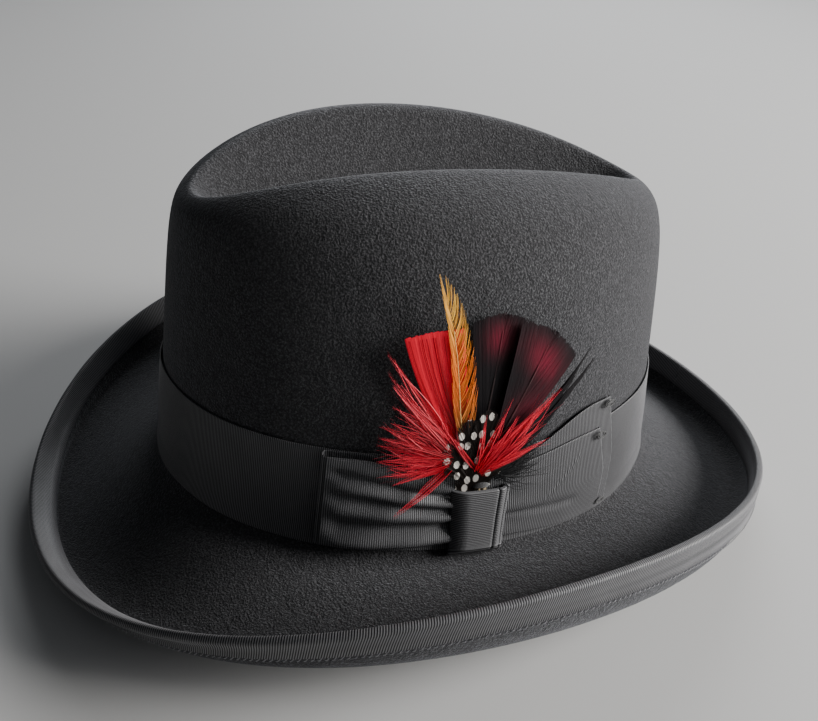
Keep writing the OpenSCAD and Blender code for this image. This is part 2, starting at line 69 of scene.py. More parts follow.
# The bow: what the CAD bow has, with the cloth's own thickness
LOOP_LONG, LOOP_HIGH = 54 * MM, 36.5 * MM
PINCH_FOOT, PINCH_HIGH = 6 * MM, 27.5 * MM      # every piece of the bow under the knot
BOW_FOOT = 3 * MM
TAIL_LONG, TAIL_HIGH = 61 * MM, 46 * MM
LEAF_LONG, LEAF_HIGH = 54.5 * MM, 35.5 * MM
KNOT_HALF, KNOT_HIGH = 10.9 * MM, 25.5 * MM
TAIL_OFF, LEAF_OFF, LOOP_OFF, KNOT_OFF = 1.7 * MM, 2.8 * MM, 1.6 * MM, 7.2 * MM
KNOT_SIDE_OFF = 3.9 * MM

# The inside of the hat
SWEAT_LOW, SWEAT_WIDE, SWEAT_OFF = 1.6 * MM, 47.4 * MM, 3.9 * MM
SWEAT_MID = 20 * MM
TAPE_HALF = 4.3 * MM
SATIN_BOW_HALF = 3.2 * MM

# ---- camera, floor and light

CAM_LENS = 45.1           # mm on a 36 mm sensor
CAM_AZIMUTH = 67.4        # degrees round from the front towards the wearer's left
CAM_ELEVATION = 29.57
CAM_ROLL = 2.19
CAM_DISTANCE = 0.43
CAM_LOOK = (0.0033, -0.0009, 0.0331)   # from the middle of the brim break
FLOOR_HALF = 12.0
SKY_STRENGTH = 0.07
LAMP_AIM = (0, 0, 0.06)
LAMPS = (                 # name, place, size, power, colour
    ("window", (0.72, 1.35, 0.64), (0.9, 0.7), 72, (1.0, 0.98, 0.96)),
    ("soft_far", (-1.2, 0.8, 0.9), (1.0, 1.0), 16, (0.95, 0.97, 1.0)),
    ("soft_fill", (1.3, 0.9, 0.5), (1.2, 0.8), 3, (0.95, 0.97, 1.0)),
)


def show(name, data):
    obj = bpy.data.objects.new(name, data)
    bpy.context.scene.collection.objects.link(obj)
    return obj


def make_camera():
    data = bpy.data.cameras.new("camera")
    data.lens = CAM_LENS
    data.sensor_width = 36
    cam = show("camera", data)
    az, el = math.radians(CAM_AZIMUTH), math.radians(CAM_ELEVATION)
    back = Vector((math.sin(az) * math.cos(el), -math.cos(az) * math.cos(el), math.sin(el)))
    roll = Matrix.Rotation(math.radians(CAM_ROLL), 4, "Z").to_quaternion()
    cam.location = Vector(ORIGIN) + Vector(CAM_LOOK) + back * CAM_DISTANCE
    cam.rotation_euler = (back.to_track_quat("Z", "Y") @ roll).to_euler()
    bpy.context.scene.camera = cam


def make_studio():
    paint = Look("pale_floor")
    paint.shader(Base_Color=(0.48, 0.48, 0.475), Roughness=0.8)
    h = FLOOR_HALF
    corners = [(-h, -h, 0), (h, -h, 0), (h, h, 0), (-h, h, 0)]
    piece("floor", corners, [(0, 1, 2, 3)], paint.material)
    world = bpy.data.worlds.new("world")
    bpy.context.scene.world = world
    world.use_nodes = True
    sky = world.node_tree.nodes["Background"].inputs
    sky["Color"].default_value = (0.86, 0.9, 0.96, 1)
    sky["Strength"].default_value = SKY_STRENGTH
    for name, place, size, power, colour in LAMPS:
        data = bpy.data.lights.new(name, "AREA")
        data.shape = "RECTANGLE"
        data.size, data.size_y = size
        data.energy = power
        data.color = colour
        lamp = show(name, data)
        lamp.location = place
        aim = Vector(LAMP_AIM) - Vector(place)
        lamp.rotation_euler = aim.to_track_quat("-Z", "Y").to_euler()


# ---- material nodes


class Look:
    """A node material, with short calls for the nodes that the looks below need."""

    def __init__(self, name):
        self.material = bpy.data.materials.new(name)
        self.material.use_nodes = True
        self.tree = self.material.node_tree
        self.bsdf = self.tree.nodes["Principled BSDF"]

    def feed(self, socket, value):
        """Joins a socket to another one, or gives it a number, a vector or a colour."""
        if isinstance(value, bpy.types.NodeSocket):
            self.tree.links.new(value, socket)
        elif socket.type == "RGBA":
            socket.default_value = (*value, 1)
        else:
            socket.default_value = value

    def shader(self, **sockets):
        for key, value in sockets.items():
            self.feed(self.bsdf.inputs[key.replace("_", " ")], value)

    def add(self, kind, **settings):
        node = self.tree.nodes.new(kind)
        for key, value in settings.items():
            if key in node.inputs:
                self.feed(node.inputs[key], value)
            else:
                setattr(node, key, value)
        return node

    def place(self, kind="Object"):
        return self.add("ShaderNodeTexCoord").outputs[kind]

    def stretched(self, source, scale):
        return self.add("ShaderNodeMapping", Vector=source, Scale=scale).outputs["Vector"]

    def noise(self, source, scale, detail=2.0, rough=0.5):
        node = self.add("ShaderNodeTexNoise", Vector=source, Scale=scale, Detail=detail,
                        Roughness=rough)
        return node.outputs["Fac"]

    def ramp(self, source, *stops):
        """Greys, each at its place on the ramp."""
        node = self.add("ShaderNodeValToRGB", Fac=source)
        elements = node.color_ramp.elements
        while len(elements) < len(stops):
            elements.new(0.5)
        for element, (place, grey) in zip(elements, stops):
            element.position = place
            element.color = (grey, grey, grey, 1)
        return node.outputs["Color"]

    def maths(self, operation, *values):
        node = self.add("ShaderNodeMath", operation=operation)
        for socket, value in zip(node.inputs, values):
            self.feed(socket, value)
        return node.outputs[0]

    def mix(self, factor, a, b):
        node = self.add("ShaderNodeMix", data_type="RGBA")
        for k, value in ((0, factor), (6, a), (7, b)):
            self.feed(node.inputs[k], value)
        return node.outputs[2]

    def bump(self, source, strength, distance=0.2 * MM):
        """Adds a bump on top of those that are there."""
        normal = self.bsdf.inputs["Normal"]
        node = self.add("ShaderNodeBump", Height=source, Strength=strength, Distance=distance)
        if normal.links:
            self.feed(node.inputs["Normal"], normal.links[0].from_socket)
        self.feed(normal, node.outputs["Normal"])


def felt_material():
    m = Look("wool_felt")
    m.shader(Roughness=0.9, Sheen_Weight=0.22, Sheen_Roughness=0.4,
             Sheen_Tint=(0.85, 0.88, 0.95), Specular_IOR_Level=0.3)
    at = m.place()
    broad, blotch, fleck = m.noise(at, 14, 3), m.noise(at, 260, 3, 0.6), m.noise(at, 1300, 2, 0.6)
    ground = m.mix(blotch, (0.004, 0.004, 0.0045), (0.021, 0.021, 0.023))
    ground = m.mix(m.maths("MULTIPLY", broad, 0.35), ground, (0.025, 0.023, 0.025))
    light = m.ramp(fleck, (0.42, 0), (0.56, 0.35), (0.72, 1))
    m.shader(Base_Color=m.mix(light, ground, (0.072, 0.072, 0.076)))
    m.bump(fleck, 1.0, 0.8 * MM)
    m.bump(blotch, 0.35, 1.4 * MM)
    return m.material


def grosgrain_material(name, pitch, rib):
    """Ribs run across the ribbon: u of the UV map is metres along it, v is metres across it."""
    # painted shade and highlight: groove is the near-black colour painted in the hollows between
    # the ribs, where shade falls, and the rib colour is painted lighter on their tops as highlight;
    # the ribs are real geometry as well
    groove = (0.001, 0.001, 0.0013)
    m = Look(name)
    uv = m.place("UV")
    split = m.add("ShaderNodeSeparateXYZ", Vector=uv)
    turns = m.maths("MULTIPLY", split.outputs["X"], 2 * math.pi / pitch)
    wave = m.maths("MULTIPLY_ADD", m.maths("COSINE", turns), -0.5, 0.5)
    wave = m.maths("POWER", wave, 1.5)
    yarn = m.noise(m.stretched(uv, (900, 5200, 1)), 1.0)
    wear = m.noise(m.place(), 90, 3)
    # painted shade and highlight: the colour follows the rib wave, groove-dark in the hollows and
    # rib-light on the tops
    tone = m.mix(m.maths("MULTIPLY", yarn, 0.25), m.mix(wave, groove, rib), (0.07, 0.07, 0.075))
    m.shader(IOR=1.5, Roughness=m.ramp(wave, (0.0, 0.9), (0.8, 0.38)),
             Base_Color=m.mix(m.maths("MULTIPLY", wear, 0.3), tone, groove))
    m.bump(yarn, 0.35)
    return m.material


def feather_material(name, rough=0.5, gloss=0.25):
    m = Look(name)
    tint = m.add("ShaderNodeAttribute", attribute_name="tint").outputs["Color"]
    fine = m.noise(m.stretched(m.place(), (1400, 1400, 500)), 1.0, 2, 0.6)
    shade = m.mix(0.5, tint, (0, 0, 0))
    m.shader(Roughness=rough, Specular_IOR_Level=gloss,
             Base_Color=m.mix(m.maths("MULTIPLY", fine, 0.35), tint, shade))
    m.bump(fine, 0.3)
    return m.material


def guinea_material():
    """Black barbs with rows of white oval spots: the UV map is the place on the wall."""
    m = Look("guinea")
    uv = m.place("UV")
    cells = m.add("ShaderNodeTexVoronoi", voronoi_dimensions="2D", Scale=1.0, Randomness=0.55,
                  Vector=m.stretched(uv, (230, 175, 1)))
    ragged = m.noise(m.stretched(uv, (2600, 900, 1)), 1.0)
    edge = m.maths("ADD", cells.outputs["Distance"], m.maths("MULTIPLY", ragged, 0.09))
    spot = m.ramp(edge, (0.0, 1), (0.285, 1), (0.325, 0))
    ground = m.mix(ragged, (0.003, 0.002, 0.002), (0.014, 0.009, 0.007))
    m.shader(Roughness=0.55, Specular_IOR_Level=0.15,
             Base_Color=m.mix(spot, ground, (0.72, 0.68, 0.62)))
    m.bump(ragged, 0.3)
    return m.material


def leather_material():
    m = Look("sweatband_leather")
    grain = m.add("ShaderNodeTexVoronoi", Scale=900.0, Vector=m.place())
    broad = m.noise(m.place(), 30, 4)
    m.shader(Specular_IOR_Level=0.4, Roughness=m.ramp(broad, (0.2, 0.4), (0.8, 0.62)),
             Base_Color=m.mix(broad, (0.032, 0.016, 0.009), (0.07, 0.036, 0.02)))
    m.bump(grain.outputs["Distance"], 0.35)
    return m.material


def satin_material():
    m = Look("satin")
    threads = m.noise(m.stretched(m.place(), (3000, 3000, 160)), 1.0)
    soft = m.noise(m.place(), 60, 3)
    m.shader(Sheen_Weight=0.2, Specular_IOR_Level=0.6, Anisotropic=0.5,
             Roughness=m.ramp(threads, (0.3, 0.28), (0.7, 0.45)),
             Base_Color=m.mix(soft, (0.012, 0.012, 0.014), (0.03, 0.03, 0.034)))
    m.bump(threads, 0.2)
    return m.material


def plain_thread(name, colour, rough=0.6):
    m = Look(name)
    twist = m.noise(m.place(), 2200)
    m.shader(Roughness=rough, Sheen_Weight=0.2,
             Base_Color=m.mix(twist, tuple(c * 0.55 for c in colour), colour))
    m.bump(twist, 0.4)
    return m.material


# ---- meshes


def shade_smooth(mesh):
    mesh.polygons.foreach_set("use_smooth", np.ones(len(mesh.polygons), bool))


def grid_faces(nu, nv, wrap_u=False, wrap_v=False):
    i = np.arange(nu if wrap_u else nu - 1)[:, None]
    j = np.arange(nv if wrap_v else nv - 1)[None, :]
    i2, j2 = (i + 1) % nu, (j + 1) % nv
    return np.stack([i * nv + j, i2 * nv + j, i2 * nv + j2, i * nv + j2], -1).reshape(-1, 4)


def piece(name, points, faces, material, uv=None):
    """A new object from points (n, 3) and faces, with a UV pair for each point."""
    mesh = bpy.data.meshes.new(name)
    mesh.from_pydata(np.asarray(points).tolist(), [], [tuple(int(k) for k in f) for f in faces])
    if uv is not None:
        layer = mesh.uv_layers.new(name="UVMap")
        corner = np.zeros(len(mesh.loops), np.int32)
        mesh.loops.foreach_get("vertex_index", corner)
        layer.data.foreach_set("uv", np.asarray(uv, np.float32)[corner].ravel())
    mesh.update()
    mesh.materials.append(material)
    shade_smooth(mesh)
    return show(name, mesh)


def dress(obj, body, node):
    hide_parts(node)
    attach(obj, body)


def welded(node):
    bm = bmesh.new()
    bm.from_mesh(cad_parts[node].data)
    bmesh.ops.remove_doubles(bm, verts=bm.verts, dist=0.002 * MM)
    return bm


def welded_copy(node, levels, name, material):
    """A copy of a CAD node as quads, with rounder facets from subdivision."""
    bm = welded(node)
    bmesh.ops.join_triangles(bm, faces=bm.faces, angle_face_threshold=math.pi,
                             angle_shape_threshold=math.pi)
    mesh = bpy.data.meshes.new(name)
    bm.to_mesh(mesh)
    bm.free()
    obj = show(name, mesh)
    rounder = obj.modifiers.new("round", "SUBSURF")
    rounder.levels = rounder.render_levels = levels
    graph = bpy.context.evaluated_depsgraph_get()
    obj.data = bpy.data.meshes.new_from_object(obj.evaluated_get(graph))
    obj.modifiers.clear()
    obj.data.materials.append(material)
    shade_smooth(obj.data)
    return obj


def coords(mesh):
    flat = np.zeros(len(mesh.vertices) * 3)
    mesh.vertices.foreach_get("co", flat)
    return flat.reshape(-1, 3)


def set_coords(mesh, points):
    mesh.vertices.foreach_set("co", points.ravel())
    mesh.update()


def unit(v):
    return v / np.maximum(np.linalg.norm(v, axis=-1, keepdims=True), 1e-12)


def smooth(x):
    x = np.clip(x, 0, 1)
    return x * x * (3 - 2 * x)


def valley(v, middle, width):
    return np.exp(-(((v - middle) / width) ** 2))


def run_of(line, closed=False):
    """Distance along a line of points from its first point."""
    if closed:
        line = np.concatenate([line, line[:1]])
    return np.concatenate([[0], np.cumsum(np.linalg.norm(np.diff(line, axis=0), axis=1))])


# ---- the hat's own frame

# The hat leans back on the table, so heights on the crown are measured in the plane of
# the ribbon band, whose top edge is level on the hat.


def band_plane():
    v = coords(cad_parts["ribbon_band"].data)
    middle = v[np.abs(v[:, 0]) < 4 * MM]
    front, back = middle[middle[:, 1] < 0], middle[middle[:, 1] > 0]
    rise = back[back[:, 2].argmax()] - front[front[:, 2].argmax()]
    foot = (front[front[:, 2].argmin()] + back[back[:, 2].argmin()]) / 2
    return math.atan2(rise[2], rise[1]), foot


TILT, BAND_FOOT = band_plane()
COS, SIN = math.cos(TILT), math.sin(TILT)
TO_ROW = np.array([[1, 0, 0], [0, COS, -SIN], [0, SIN, COS]])
ORIGIN = np.array([0, BAND_FOOT[1], BAND_FOOT[2]]) - TO_ROW @ np.array([0, 0, BAND_LOW])


def to_row(p):
    return np.asarray(p) @ TO_ROW.T + ORIGIN


def to_hat(p):
    return (np.asarray(p) - ORIGIN) @ TO_ROW


# ---- felt and its wall


def make_felt():
    obj = welded_copy("felt_body", 2, "felt_shell", felt_material())
    dress(obj, HAT, "felt_body")
    return obj


DEGREES = np.arange(0, 361, 1.0)


class Wall:
    """The outer face of the crown wall by angle round the hat and height above the break."""

    STEP = 1.0               # degrees
    RISE = 1.0 * MM
    LOW, HIGH = 1.0 * MM, 114 * MM
    ABOVE_CURL = 34 * MM     # from here up the wall is found from outside, below it from inside
    FAR = 0.25

    def __init__(self, obj):
        mesh = obj.data
        tree = BVHTree.FromPolygons([v.co for v in mesh.vertices],
                                    [p.vertices for p in mesh.polygons])
        self.angles = np.arange(0, 360, self.STEP)
        self.heights = np.arange(self.LOW, self.HIGH + self.RISE / 2, self.RISE)
        self.radius = np.array([[self.reach(tree, a, z) for z in self.heights]
                                for a in self.angles])
        for k in range(1, len(self.heights)):
            missed = np.isnan(self.radius[:, k])
            self.radius[missed, k] = self.radius[missed, k - 1]
        dz = np.gradient(self.radius, self.RISE, axis=1)
        da = np.roll(self.radius, -1, 0) - np.roll(self.radius, 1, 0)
        self.slope_z = self.soften(dz)
        self.slope_a = self.soften(da / (2 * math.radians(self.STEP)))

    @staticmethod
    def soften(grid, passes=2):
        for _ in range(passes):
            grid = (np.roll(grid, 1, 0) + 2 * grid + np.roll(grid, -1, 0)) / 4
            padded = np.pad(grid, ((0, 0), (1, 1)), "edge")
            grid = (padded[:, :-2] + 2 * grid + padded[:, 2:]) / 4
        return grid

    def reach(self, tree, angle, z):
        out = np.array([math.sin(math.radians(angle)), -math.cos(math.radians(angle)), 0])
        way = Vector(TO_ROW @ out)
        if z > self.ABOVE_CURL:
            hit = tree.ray_cast(Vector(to_row(out * self.FAR + [0, 0, z])), -way)[0]
        else:
            inner = tree.ray_cast(Vector(to_row([0, 0, z])), way)[0]
            hit = tree.ray_cast(inner + way * 0.2 * MM, way)[0]
        return math.nan if hit is None else float(np.linalg.norm(to_hat(hit)[:2]))

    def look(self, grid, angle, z):
        """The value of a grid between its angles and heights."""
        a = (angle / self.STEP) % len(self.angles)
        k = np.clip((z - self.LOW) / self.RISE, 0, len(self.heights) - 1.001)
        a0, k0 = np.floor(a).astype(int), np.floor(k).astype(int)
        part_a, part_k = a - a0, k - k0
        a0 %= len(self.angles)
        a1, k1 = (a0 + 1) % len(self.angles), k0 + 1
        low = grid[a0, k0] * (1 - part_a) + grid[a1, k0] * part_a
        high = grid[a0, k1] * (1 - part_a) + grid[a1, k1] * part_a
        return low * (1 - part_k) + high * part_k

    def frame(self, angle, z):
        """Points on the wall and its outward normals, both in the hat's frame."""
        angle, z = np.broadcast_arrays(np.asarray(angle, float), np.asarray(z, float))
        r = self.look(self.radius, angle, z)
        t = np.radians(angle)
        sin, cos = np.sin(t), np.cos(t)
        point = np.stack([r * sin, -r * cos, z], -1)
        rz, ra = self.look(self.slope_z, angle, z), self.look(self.slope_a, angle, z)
        normal = np.stack([sin - ra / r * cos, -cos - ra / r * sin, -rz], -1)
        return point, normal / np.linalg.norm(normal, axis=-1, keepdims=True)

    def at(self, angle, z, d):
        """Points that stand d off the wall, in the row's frame."""
        point, normal = self.frame(angle, z)
        return to_row(point + normal * np.asarray(d, float)[..., None])

    def girth(self, z, d):
        """Distance round the wall at each of DEGREES."""
        return run_of(self.at(DEGREES[:-1], z, d), closed=True)


# ---- ribbons


def periodic(sections, share):
    """Smooth periodic resampling of evenly spaced sections at shares of the way round."""
    n = len(sections)
    wave = np.fft.rfft(sections.reshape(n, -1), axis=0) / n
    k = np.arange(len(wave))
    weight = np.where((k == 0) | ((n % 2 == 0) & (k == n // 2)), 1.0, 2.0)
    basis = np.exp(2j * np.pi * np.outer(share, k)) * weight
    return (basis @ wave).real.reshape(len(share), *sections.shape[1:])


def bspline(points, parts):
    """Clamped uniform cubic B-spline over axis 1 of points, with parts steps to a span."""
    first, last = points[:, :1], points[:, -1:]
    c = np.concatenate([2 * first - points[:, 1:2], points, 2 * last - points[:, -2:-1]], 1)
    out = []
    for i in range(points.shape[1] - 1):
        for j in range(parts + (i == points.shape[1] - 2)):
            u = j / parts
            w = ((1 - u) ** 3, 3 * u**3 - 6 * u * u + 4, -3 * u**3 + 3 * u * u + 3 * u + 1, u**3)
            out.append(sum(w[k] / 6 * c[:, i + k] for k in range(4)))
    return np.stack(out, 1)


def grid_normals(p, wrap):
    du = np.roll(p, -1, 0) - np.roll(p, 1, 0) if wrap else np.gradient(p, axis=0)
    return unit(np.cross(du, np.gradient(p, axis=1)))


def across_steps(width, n):
    """Shares across a ribbon, closer together at its two selvages."""
    near = SELVAGE / width
    middle = np.linspace(near[-1], 1 - near[-1], n)[1:-1]
    return np.concatenate([near, middle, 1 - near[::-1]])[None, :]


def ribbon(name, p, along, across, material, thick=0.3 * MM, rib=0.2 * MM, pitch=FINE_RIB,
           wrap=False, flip=False):
    """Ribbon with real ribs from a grid of points p[along][across] down its middle."""
    nu, nv = p.shape[:2]
    along, across = (np.broadcast_to(x, (nu, nv)) for x in (along, across))
    normal = grid_normals(p, wrap) * (-1 if flip else 1)
    edge = np.minimum(across, across.max() - across)
    calm = np.clip(edge / SELVAGE[2], 0, 1)
    height = rib * (0.5 - 0.5 * np.cos(2 * np.pi * along / pitch)) * (0.55 + 0.45 * calm)
    inset = 1 - np.clip(edge / RIBBON_ROLL, 0, 1)
    rim = thick / 2 * np.sqrt(np.clip(1 - inset**2, 0.05, 1))
    top = p + normal * (rim + height)[..., None]
    low = p - normal * (rim + 0.5 * height)[..., None]
    skin = np.concatenate([top, low[:, ::-1]], 1)
    uv = np.stack([np.concatenate([x, x[:, ::-1]], 1) for x in (along, across)], -1)
    faces = grid_faces(nu, 2 * nv, wrap_u=wrap, wrap_v=True)
    faces = (faces[:, ::-1] if flip else faces).tolist()
    if not wrap:
        ring = np.arange(2 * nv)
        for cap, turn in ((ring, flip), (ring + (nu - 1) * 2 * nv, not flip)):
            for j in range(nv - 1):
                quad = (cap[j], cap[j + 1], cap[2 * nv - 2 - j], cap[2 * nv - 1 - j])
                faces.append(quad if turn else quad[::-1])
    return piece(name, skin.reshape(-1, 3), faces, material, uv.reshape(-1, 2))


def make_band(wall, material):
    girth = wall.girth(BAND_LOW + BAND_WIDE / 2, BAND_OFF)
    ribs = round(girth[-1] / FINE_RIB)
    share = np.linspace(0, girth[-1], ribs * RIB_STEPS, endpoint=False)[:, None]
    angle = np.interp(share, girth, DEGREES)
    v = across_steps(BAND_WIDE, 7)
    t = np.radians(angle)
    wander = 0.12 * MM * np.sin(5 * t + 1) + 0.1 * MM * np.sin(11 * t)
    ease = 0.14 * MM * np.sin(7 * t + 4 * v) + 0.1 * MM * np.sin(17 * t - 3 * v)
    p = wall.at(angle, BAND_LOW + wander + BAND_WIDE * v, BAND_OFF + 0.12 * MM + ease)
    along = share * ribs * FINE_RIB / girth[-1]
    obj = ribbon("band_ribbon", p, along, v * BAND_WIDE, material, wrap=True)
    dress(obj, HAT, "ribbon_band")


# ---- binding of the brim


def short_rings(node, longest):
    """Sections of a ring-shaped node: closed loops of its edges shorter than longest."""
    bm = welded(node)
    bm.verts.ensure_lookup_table()
    near = {v.index: [] for v in bm.verts}
    for e in bm.edges:
        if e.calc_length() < longest:
            a, b = e.verts[0].index, e.verts[1].index
            near[a].append(b)
            near[b].append(a)
    place = {v.index: np.array(v.co) for v in bm.verts}
    bm.free()
    loops, seen = [], set()
    for start in near:
        if start in seen:
            continue
        loop, at, before = [], start, None
        while at not in seen:
            seen.add(at)
            loop.append(at)
            onward = [k for k in near[at] if k != before and k not in seen]
            before = at
            if onward:
                at = onward[0]
        loops.append(np.array([place[k] for k in loop]))
    return loops


def outer_path(loop):
    """The outer side of a thin U-shaped section, from the inside of the curl to the outside."""
    half = len(loop) // 2
    hop = np.linalg.norm(np.roll(loop, -1, 0) - loop, axis=1)
    a = int(np.argmin([abs(hop[k] - hop[k + half]) + abs(hop[k] - BINDING_EDGE)
                       for k in range(half)]))
    sides = (loop[a + 1 : a + 1 + half], np.roll(loop, -(a + 1 + half), 0)[:half])
    one, two = (run_of(side)[-1] for side in sides)
    path = sides[0] if one > two else sides[1]
    ends = np.linalg.norm(path[[0, -1], :2] - ORIGIN[:2], axis=1)
    return path[::-1] if ends[0] > ends[1] else path


def binding_sections():
    paths = [outer_path(loop) for loop in short_rings("brim_binding", 5 * MM)]
    paths.sort(key=lambda p: math.atan2(p[:, 0].mean() - ORIGIN[0], ORIGIN[1] - p[:, 1].mean()))
    return np.array(paths)


def make_binding(material):
    """Returns the outer edge of the binding, and the directions down and off it there."""
    sections = binding_sections()
    fine = np.linspace(0, 1, 2881)
    girth = run_of(periodic(sections[:, sections.shape[1] // 2], fine))
    count = round(girth[-1] / BROAD_RIB) * BINDING_STEPS
    share = np.interp(np.linspace(0, girth[-1], count, endpoint=False), girth, fine)
    p = bspline(periodic(sections, share), 1)
    first, last = p[:, :1], p[:, -1:]
    p = np.concatenate([first, first + unit(p[:, 1:2] - first) * SELVAGE[2], p[:, 1:-1],
                        last + unit(p[:, -2:-1] - last) * SELVAGE[2], last], 1)
    normal = grid_normals(p, True)
    outward = 1 if normal[0, -1] @ (p[0, -1] - ORIGIN) > 0 else -1
    across = np.cumsum(np.linalg.norm(np.diff(p, axis=1, prepend=p[:, :1]), axis=2), 1)
    across = across * (across.mean(0)[-1] / across[:, -1:])
    along = (np.arange(count) * BROAD_RIB / BINDING_STEPS)[:, None]
    turn = 2 * np.pi * np.arange(count)[:, None] / count
    pull = 0.06 * MM * np.sin(19 * turn + 1.3) + 0.04 * MM * np.sin(43 * turn)
    p = p + outward * normal * (pull * across / across.max() - BINDING_CORE)[..., None]
    obj = ribbon("binding_ribbon", p, along + BINDING_SLANT * across, across, material,
                 rib=0.3 * MM, pitch=BROAD_RIB, wrap=True, flip=outward < 0)
    dress(obj, HAT, "brim_binding")
    edge = periodic(sections[:, -1], share)
    down = unit(edge - periodic(sections[:, -2], share))
    face = unit(np.cross(np.roll(edge, -1, 0) - edge, down)) * outward
    return edge, down, face


# ---- threads


def threads(name, mid, radii, side, up, material, sides):
    """Capped round threads along mid[k][j]; side and up span the rings round them."""
    n, rows = mid.shape[:2]
    a = np.linspace(0, 2 * np.pi, sides, endpoint=False)[:, None]
    ring = np.cos(a) * side[..., None, :] + np.sin(a) * up[..., None, :]
    p = mid[:, :, None] + np.asarray(radii)[..., None, None] * ring
    start = np.arange(n)[:, None, None] * rows * sides
    faces = (grid_faces(rows, sides, wrap_v=True) + start).reshape(-1, 4).tolist()
    for first in start.ravel():
        cap = first + np.arange(sides)
        faces += [cap[::-1], cap + (rows - 1) * sides]
    return piece(name, p.reshape(-1, 3), faces, material)


def stitches(name, start, end, lift, material):
    """Short threads from start to end, each bowed off the cloth along lift."""
    radius = 0.2 * MM
    f = np.linspace(0, 1, 5)[None, :, None]
    bow = np.sin(np.pi * f)
    mid = start[:, None] * (1 - f) + end[:, None] * f + lift[:, None] * bow * radius * 1.4
    way, up = unit(end - start)[:, None], unit(lift)[:, None]
    return threads(name, mid, radius * (0.55 + 0.45 * bow[..., 0]), unit(np.cross(way, up)), up,
                   material, 5)


def tubes(name, paths, radii, material, sides=6):
    """Round threads along paths[k][j], with radii[k][j]."""
    way = unit(np.gradient(paths, axis=1))
    ref = np.where(np.abs(way[..., 2:]) < 0.9, (0, 0, 1.0), (1.0, 0, 0))
    side = unit(np.cross(way, ref))
    return threads(name, paths, radii, side, np.cross(side, way), material, sides)


def make_binding_thread(edge, down, face, material):
    pitch, long, low, high = 2.3 * MM, 0.55, 0.75 * MM, 0.5 * MM
    length = run_of(edge)
    at = np.arange(0, length[-1] - pitch, pitch)

    def pick(values, where):
        return np.stack([np.interp(where, length, values[:, k]) for k in range(3)], -1)

    wobble = rng.normal(0, 0.1 * MM, (len(at), 1))
    lift = pick(face, at)
    start = pick(edge, at) + pick(down, at) * (low + wobble) + lift * 0.1 * MM
    end = pick(edge, at + long * pitch) - pick(down, at) * (high + wobble) + lift * 0.15 * MM
    obj = stitches("binding_stitches", start, end, lift, material)
    dress(obj, HAT, "binding_thread")


# ---- places on the wall beside the bow


class Bow:
    """Lays things on the wall: s runs along it from the knot towards the back, z up it."""

    def __init__(self, wall):
        self.wall = wall
        lo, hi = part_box("bow_knot")
        mid = to_hat((np.array(lo) + np.array(hi)) / 2)
        self.angle = math.degrees(math.atan2(mid[0], -mid[1]))
        a, b = (wall.at(self.angle + da, mid[2], 0.0) for da in (-5, 5))
        self.rate = np.linalg.norm(b - a) / 10
        self.eye = np.array(bpy.context.scene.camera.location)

    def lay(self, s, z, d):
        """Point at s along and z up the wall, standing d off it."""
        return self.wall.at(self.angle + np.asarray(s) / self.rate, z, d)

    def over(self, s, z, d):
        """The same, stood off towards the photographer, so that it covers the place (s, z)."""
        s, z, d = np.broadcast_arrays(s, z, d)
        point, normal = self.wall.frame(self.angle + s / self.rate, z)
        point, normal = to_row(point), normal @ TO_ROW.T
        sight = unit(self.eye - point)
        return point + sight * (d / np.maximum((sight * normal).sum(-1), 0.35))[..., None]


def fan_edges(reach, long, height):
    """Low and high edge of a bow piece at a distance from the middle of the knot."""
    fan = smooth((reach - 6.3 * MM) / (long * 0.7))
    low = PINCH_FOOT + (BOW_FOOT - PINCH_FOOT) * fan
    high = PINCH_FOOT + PINCH_HIGH
    return low, high + (BOW_FOOT + height - high) * fan


def ribbon_columns(length):
    return np.linspace(0, length, round(length / FINE_RIB) * RIB_STEPS + 1)[:, None]


def make_front_loop(bow, material):
    """One ribbon that runs out under the loop, turns over at the end and comes back on top."""
    turn = 1.5 * MM
    under = LOOP_LONG - turn
    u = ribbon_columns(2 * under + math.pi * turn)
    v = across_steps(LOOP_HIGH, 30)
    back = u - under - math.pi * turn       # distance along the top layer from the fold
    phase = np.clip((u - under) / turn, 0, math.pi)
    reach = np.where(u < under, u, under + turn * np.sin(phase))
    reach = np.where(back > 0, under - back, reach)
    a = np.clip(back / under, 0, 1)         # 0 at the fold, 1 at the knot
    low, high = fan_edges(reach, LOOP_LONG, LOOP_HIGH)
    on_top = smooth(phase / math.pi)
    high = high + (1 - on_top) * 1.1 * MM * smooth(reach / (20 * MM))
    z = low + (high - low) * v
    puff = 3.1 * MM * np.sin(np.pi * np.clip(a * 0.9 + 0.06, 0, 1)) ** 0.7
    d = LOOP_OFF + turn * (1 - np.cos(phase)) * (1 - 0.55 * smooth(a / 0.9))
    crease = smooth(a / 0.12) * (1 - 0.35 * smooth((a - 0.75) / 0.25))
    first = valley(v, 0.85 - 0.2 * a, 0.045 + 0.02 * a)
    second = valley(v, 0.61 - 0.14 * a, 0.06)
    third = valley(v, 0.29 - 0.02 * a, 0.09)
    swell = valley(v, 0.72 - 0.16 * a, 0.06) + 0.9 * valley(v, 0.45 - 0.07 * a, 0.07)
    swell = swell + 0.8 * valley(v, 0.1, 0.06)
    folds = crease * (2.0 * first + 2.3 * second + 2.6 * third - 0.9 * swell) * MM
    edge = np.clip(np.minimum(v, 1 - v) / 0.08, 0, 1)
    d = d + (a > 0) * (puff * edge**0.5 * 0.8 - folds)
    d = np.maximum(d, LOOP_OFF + (back > 0) * 0.9 * MM)
    ripple = 0.18 * MM * np.sin(9 * v + 60 * reach / LOOP_LONG * 0.3)
    p = bow.lay(-reach, z, d + ripple)
    obj = ribbon("bow_front_loop_ribbon", p, u, v * BAND_WIDE, material, flip=True)
    dress(obj, HAT, "bow_front_loop")


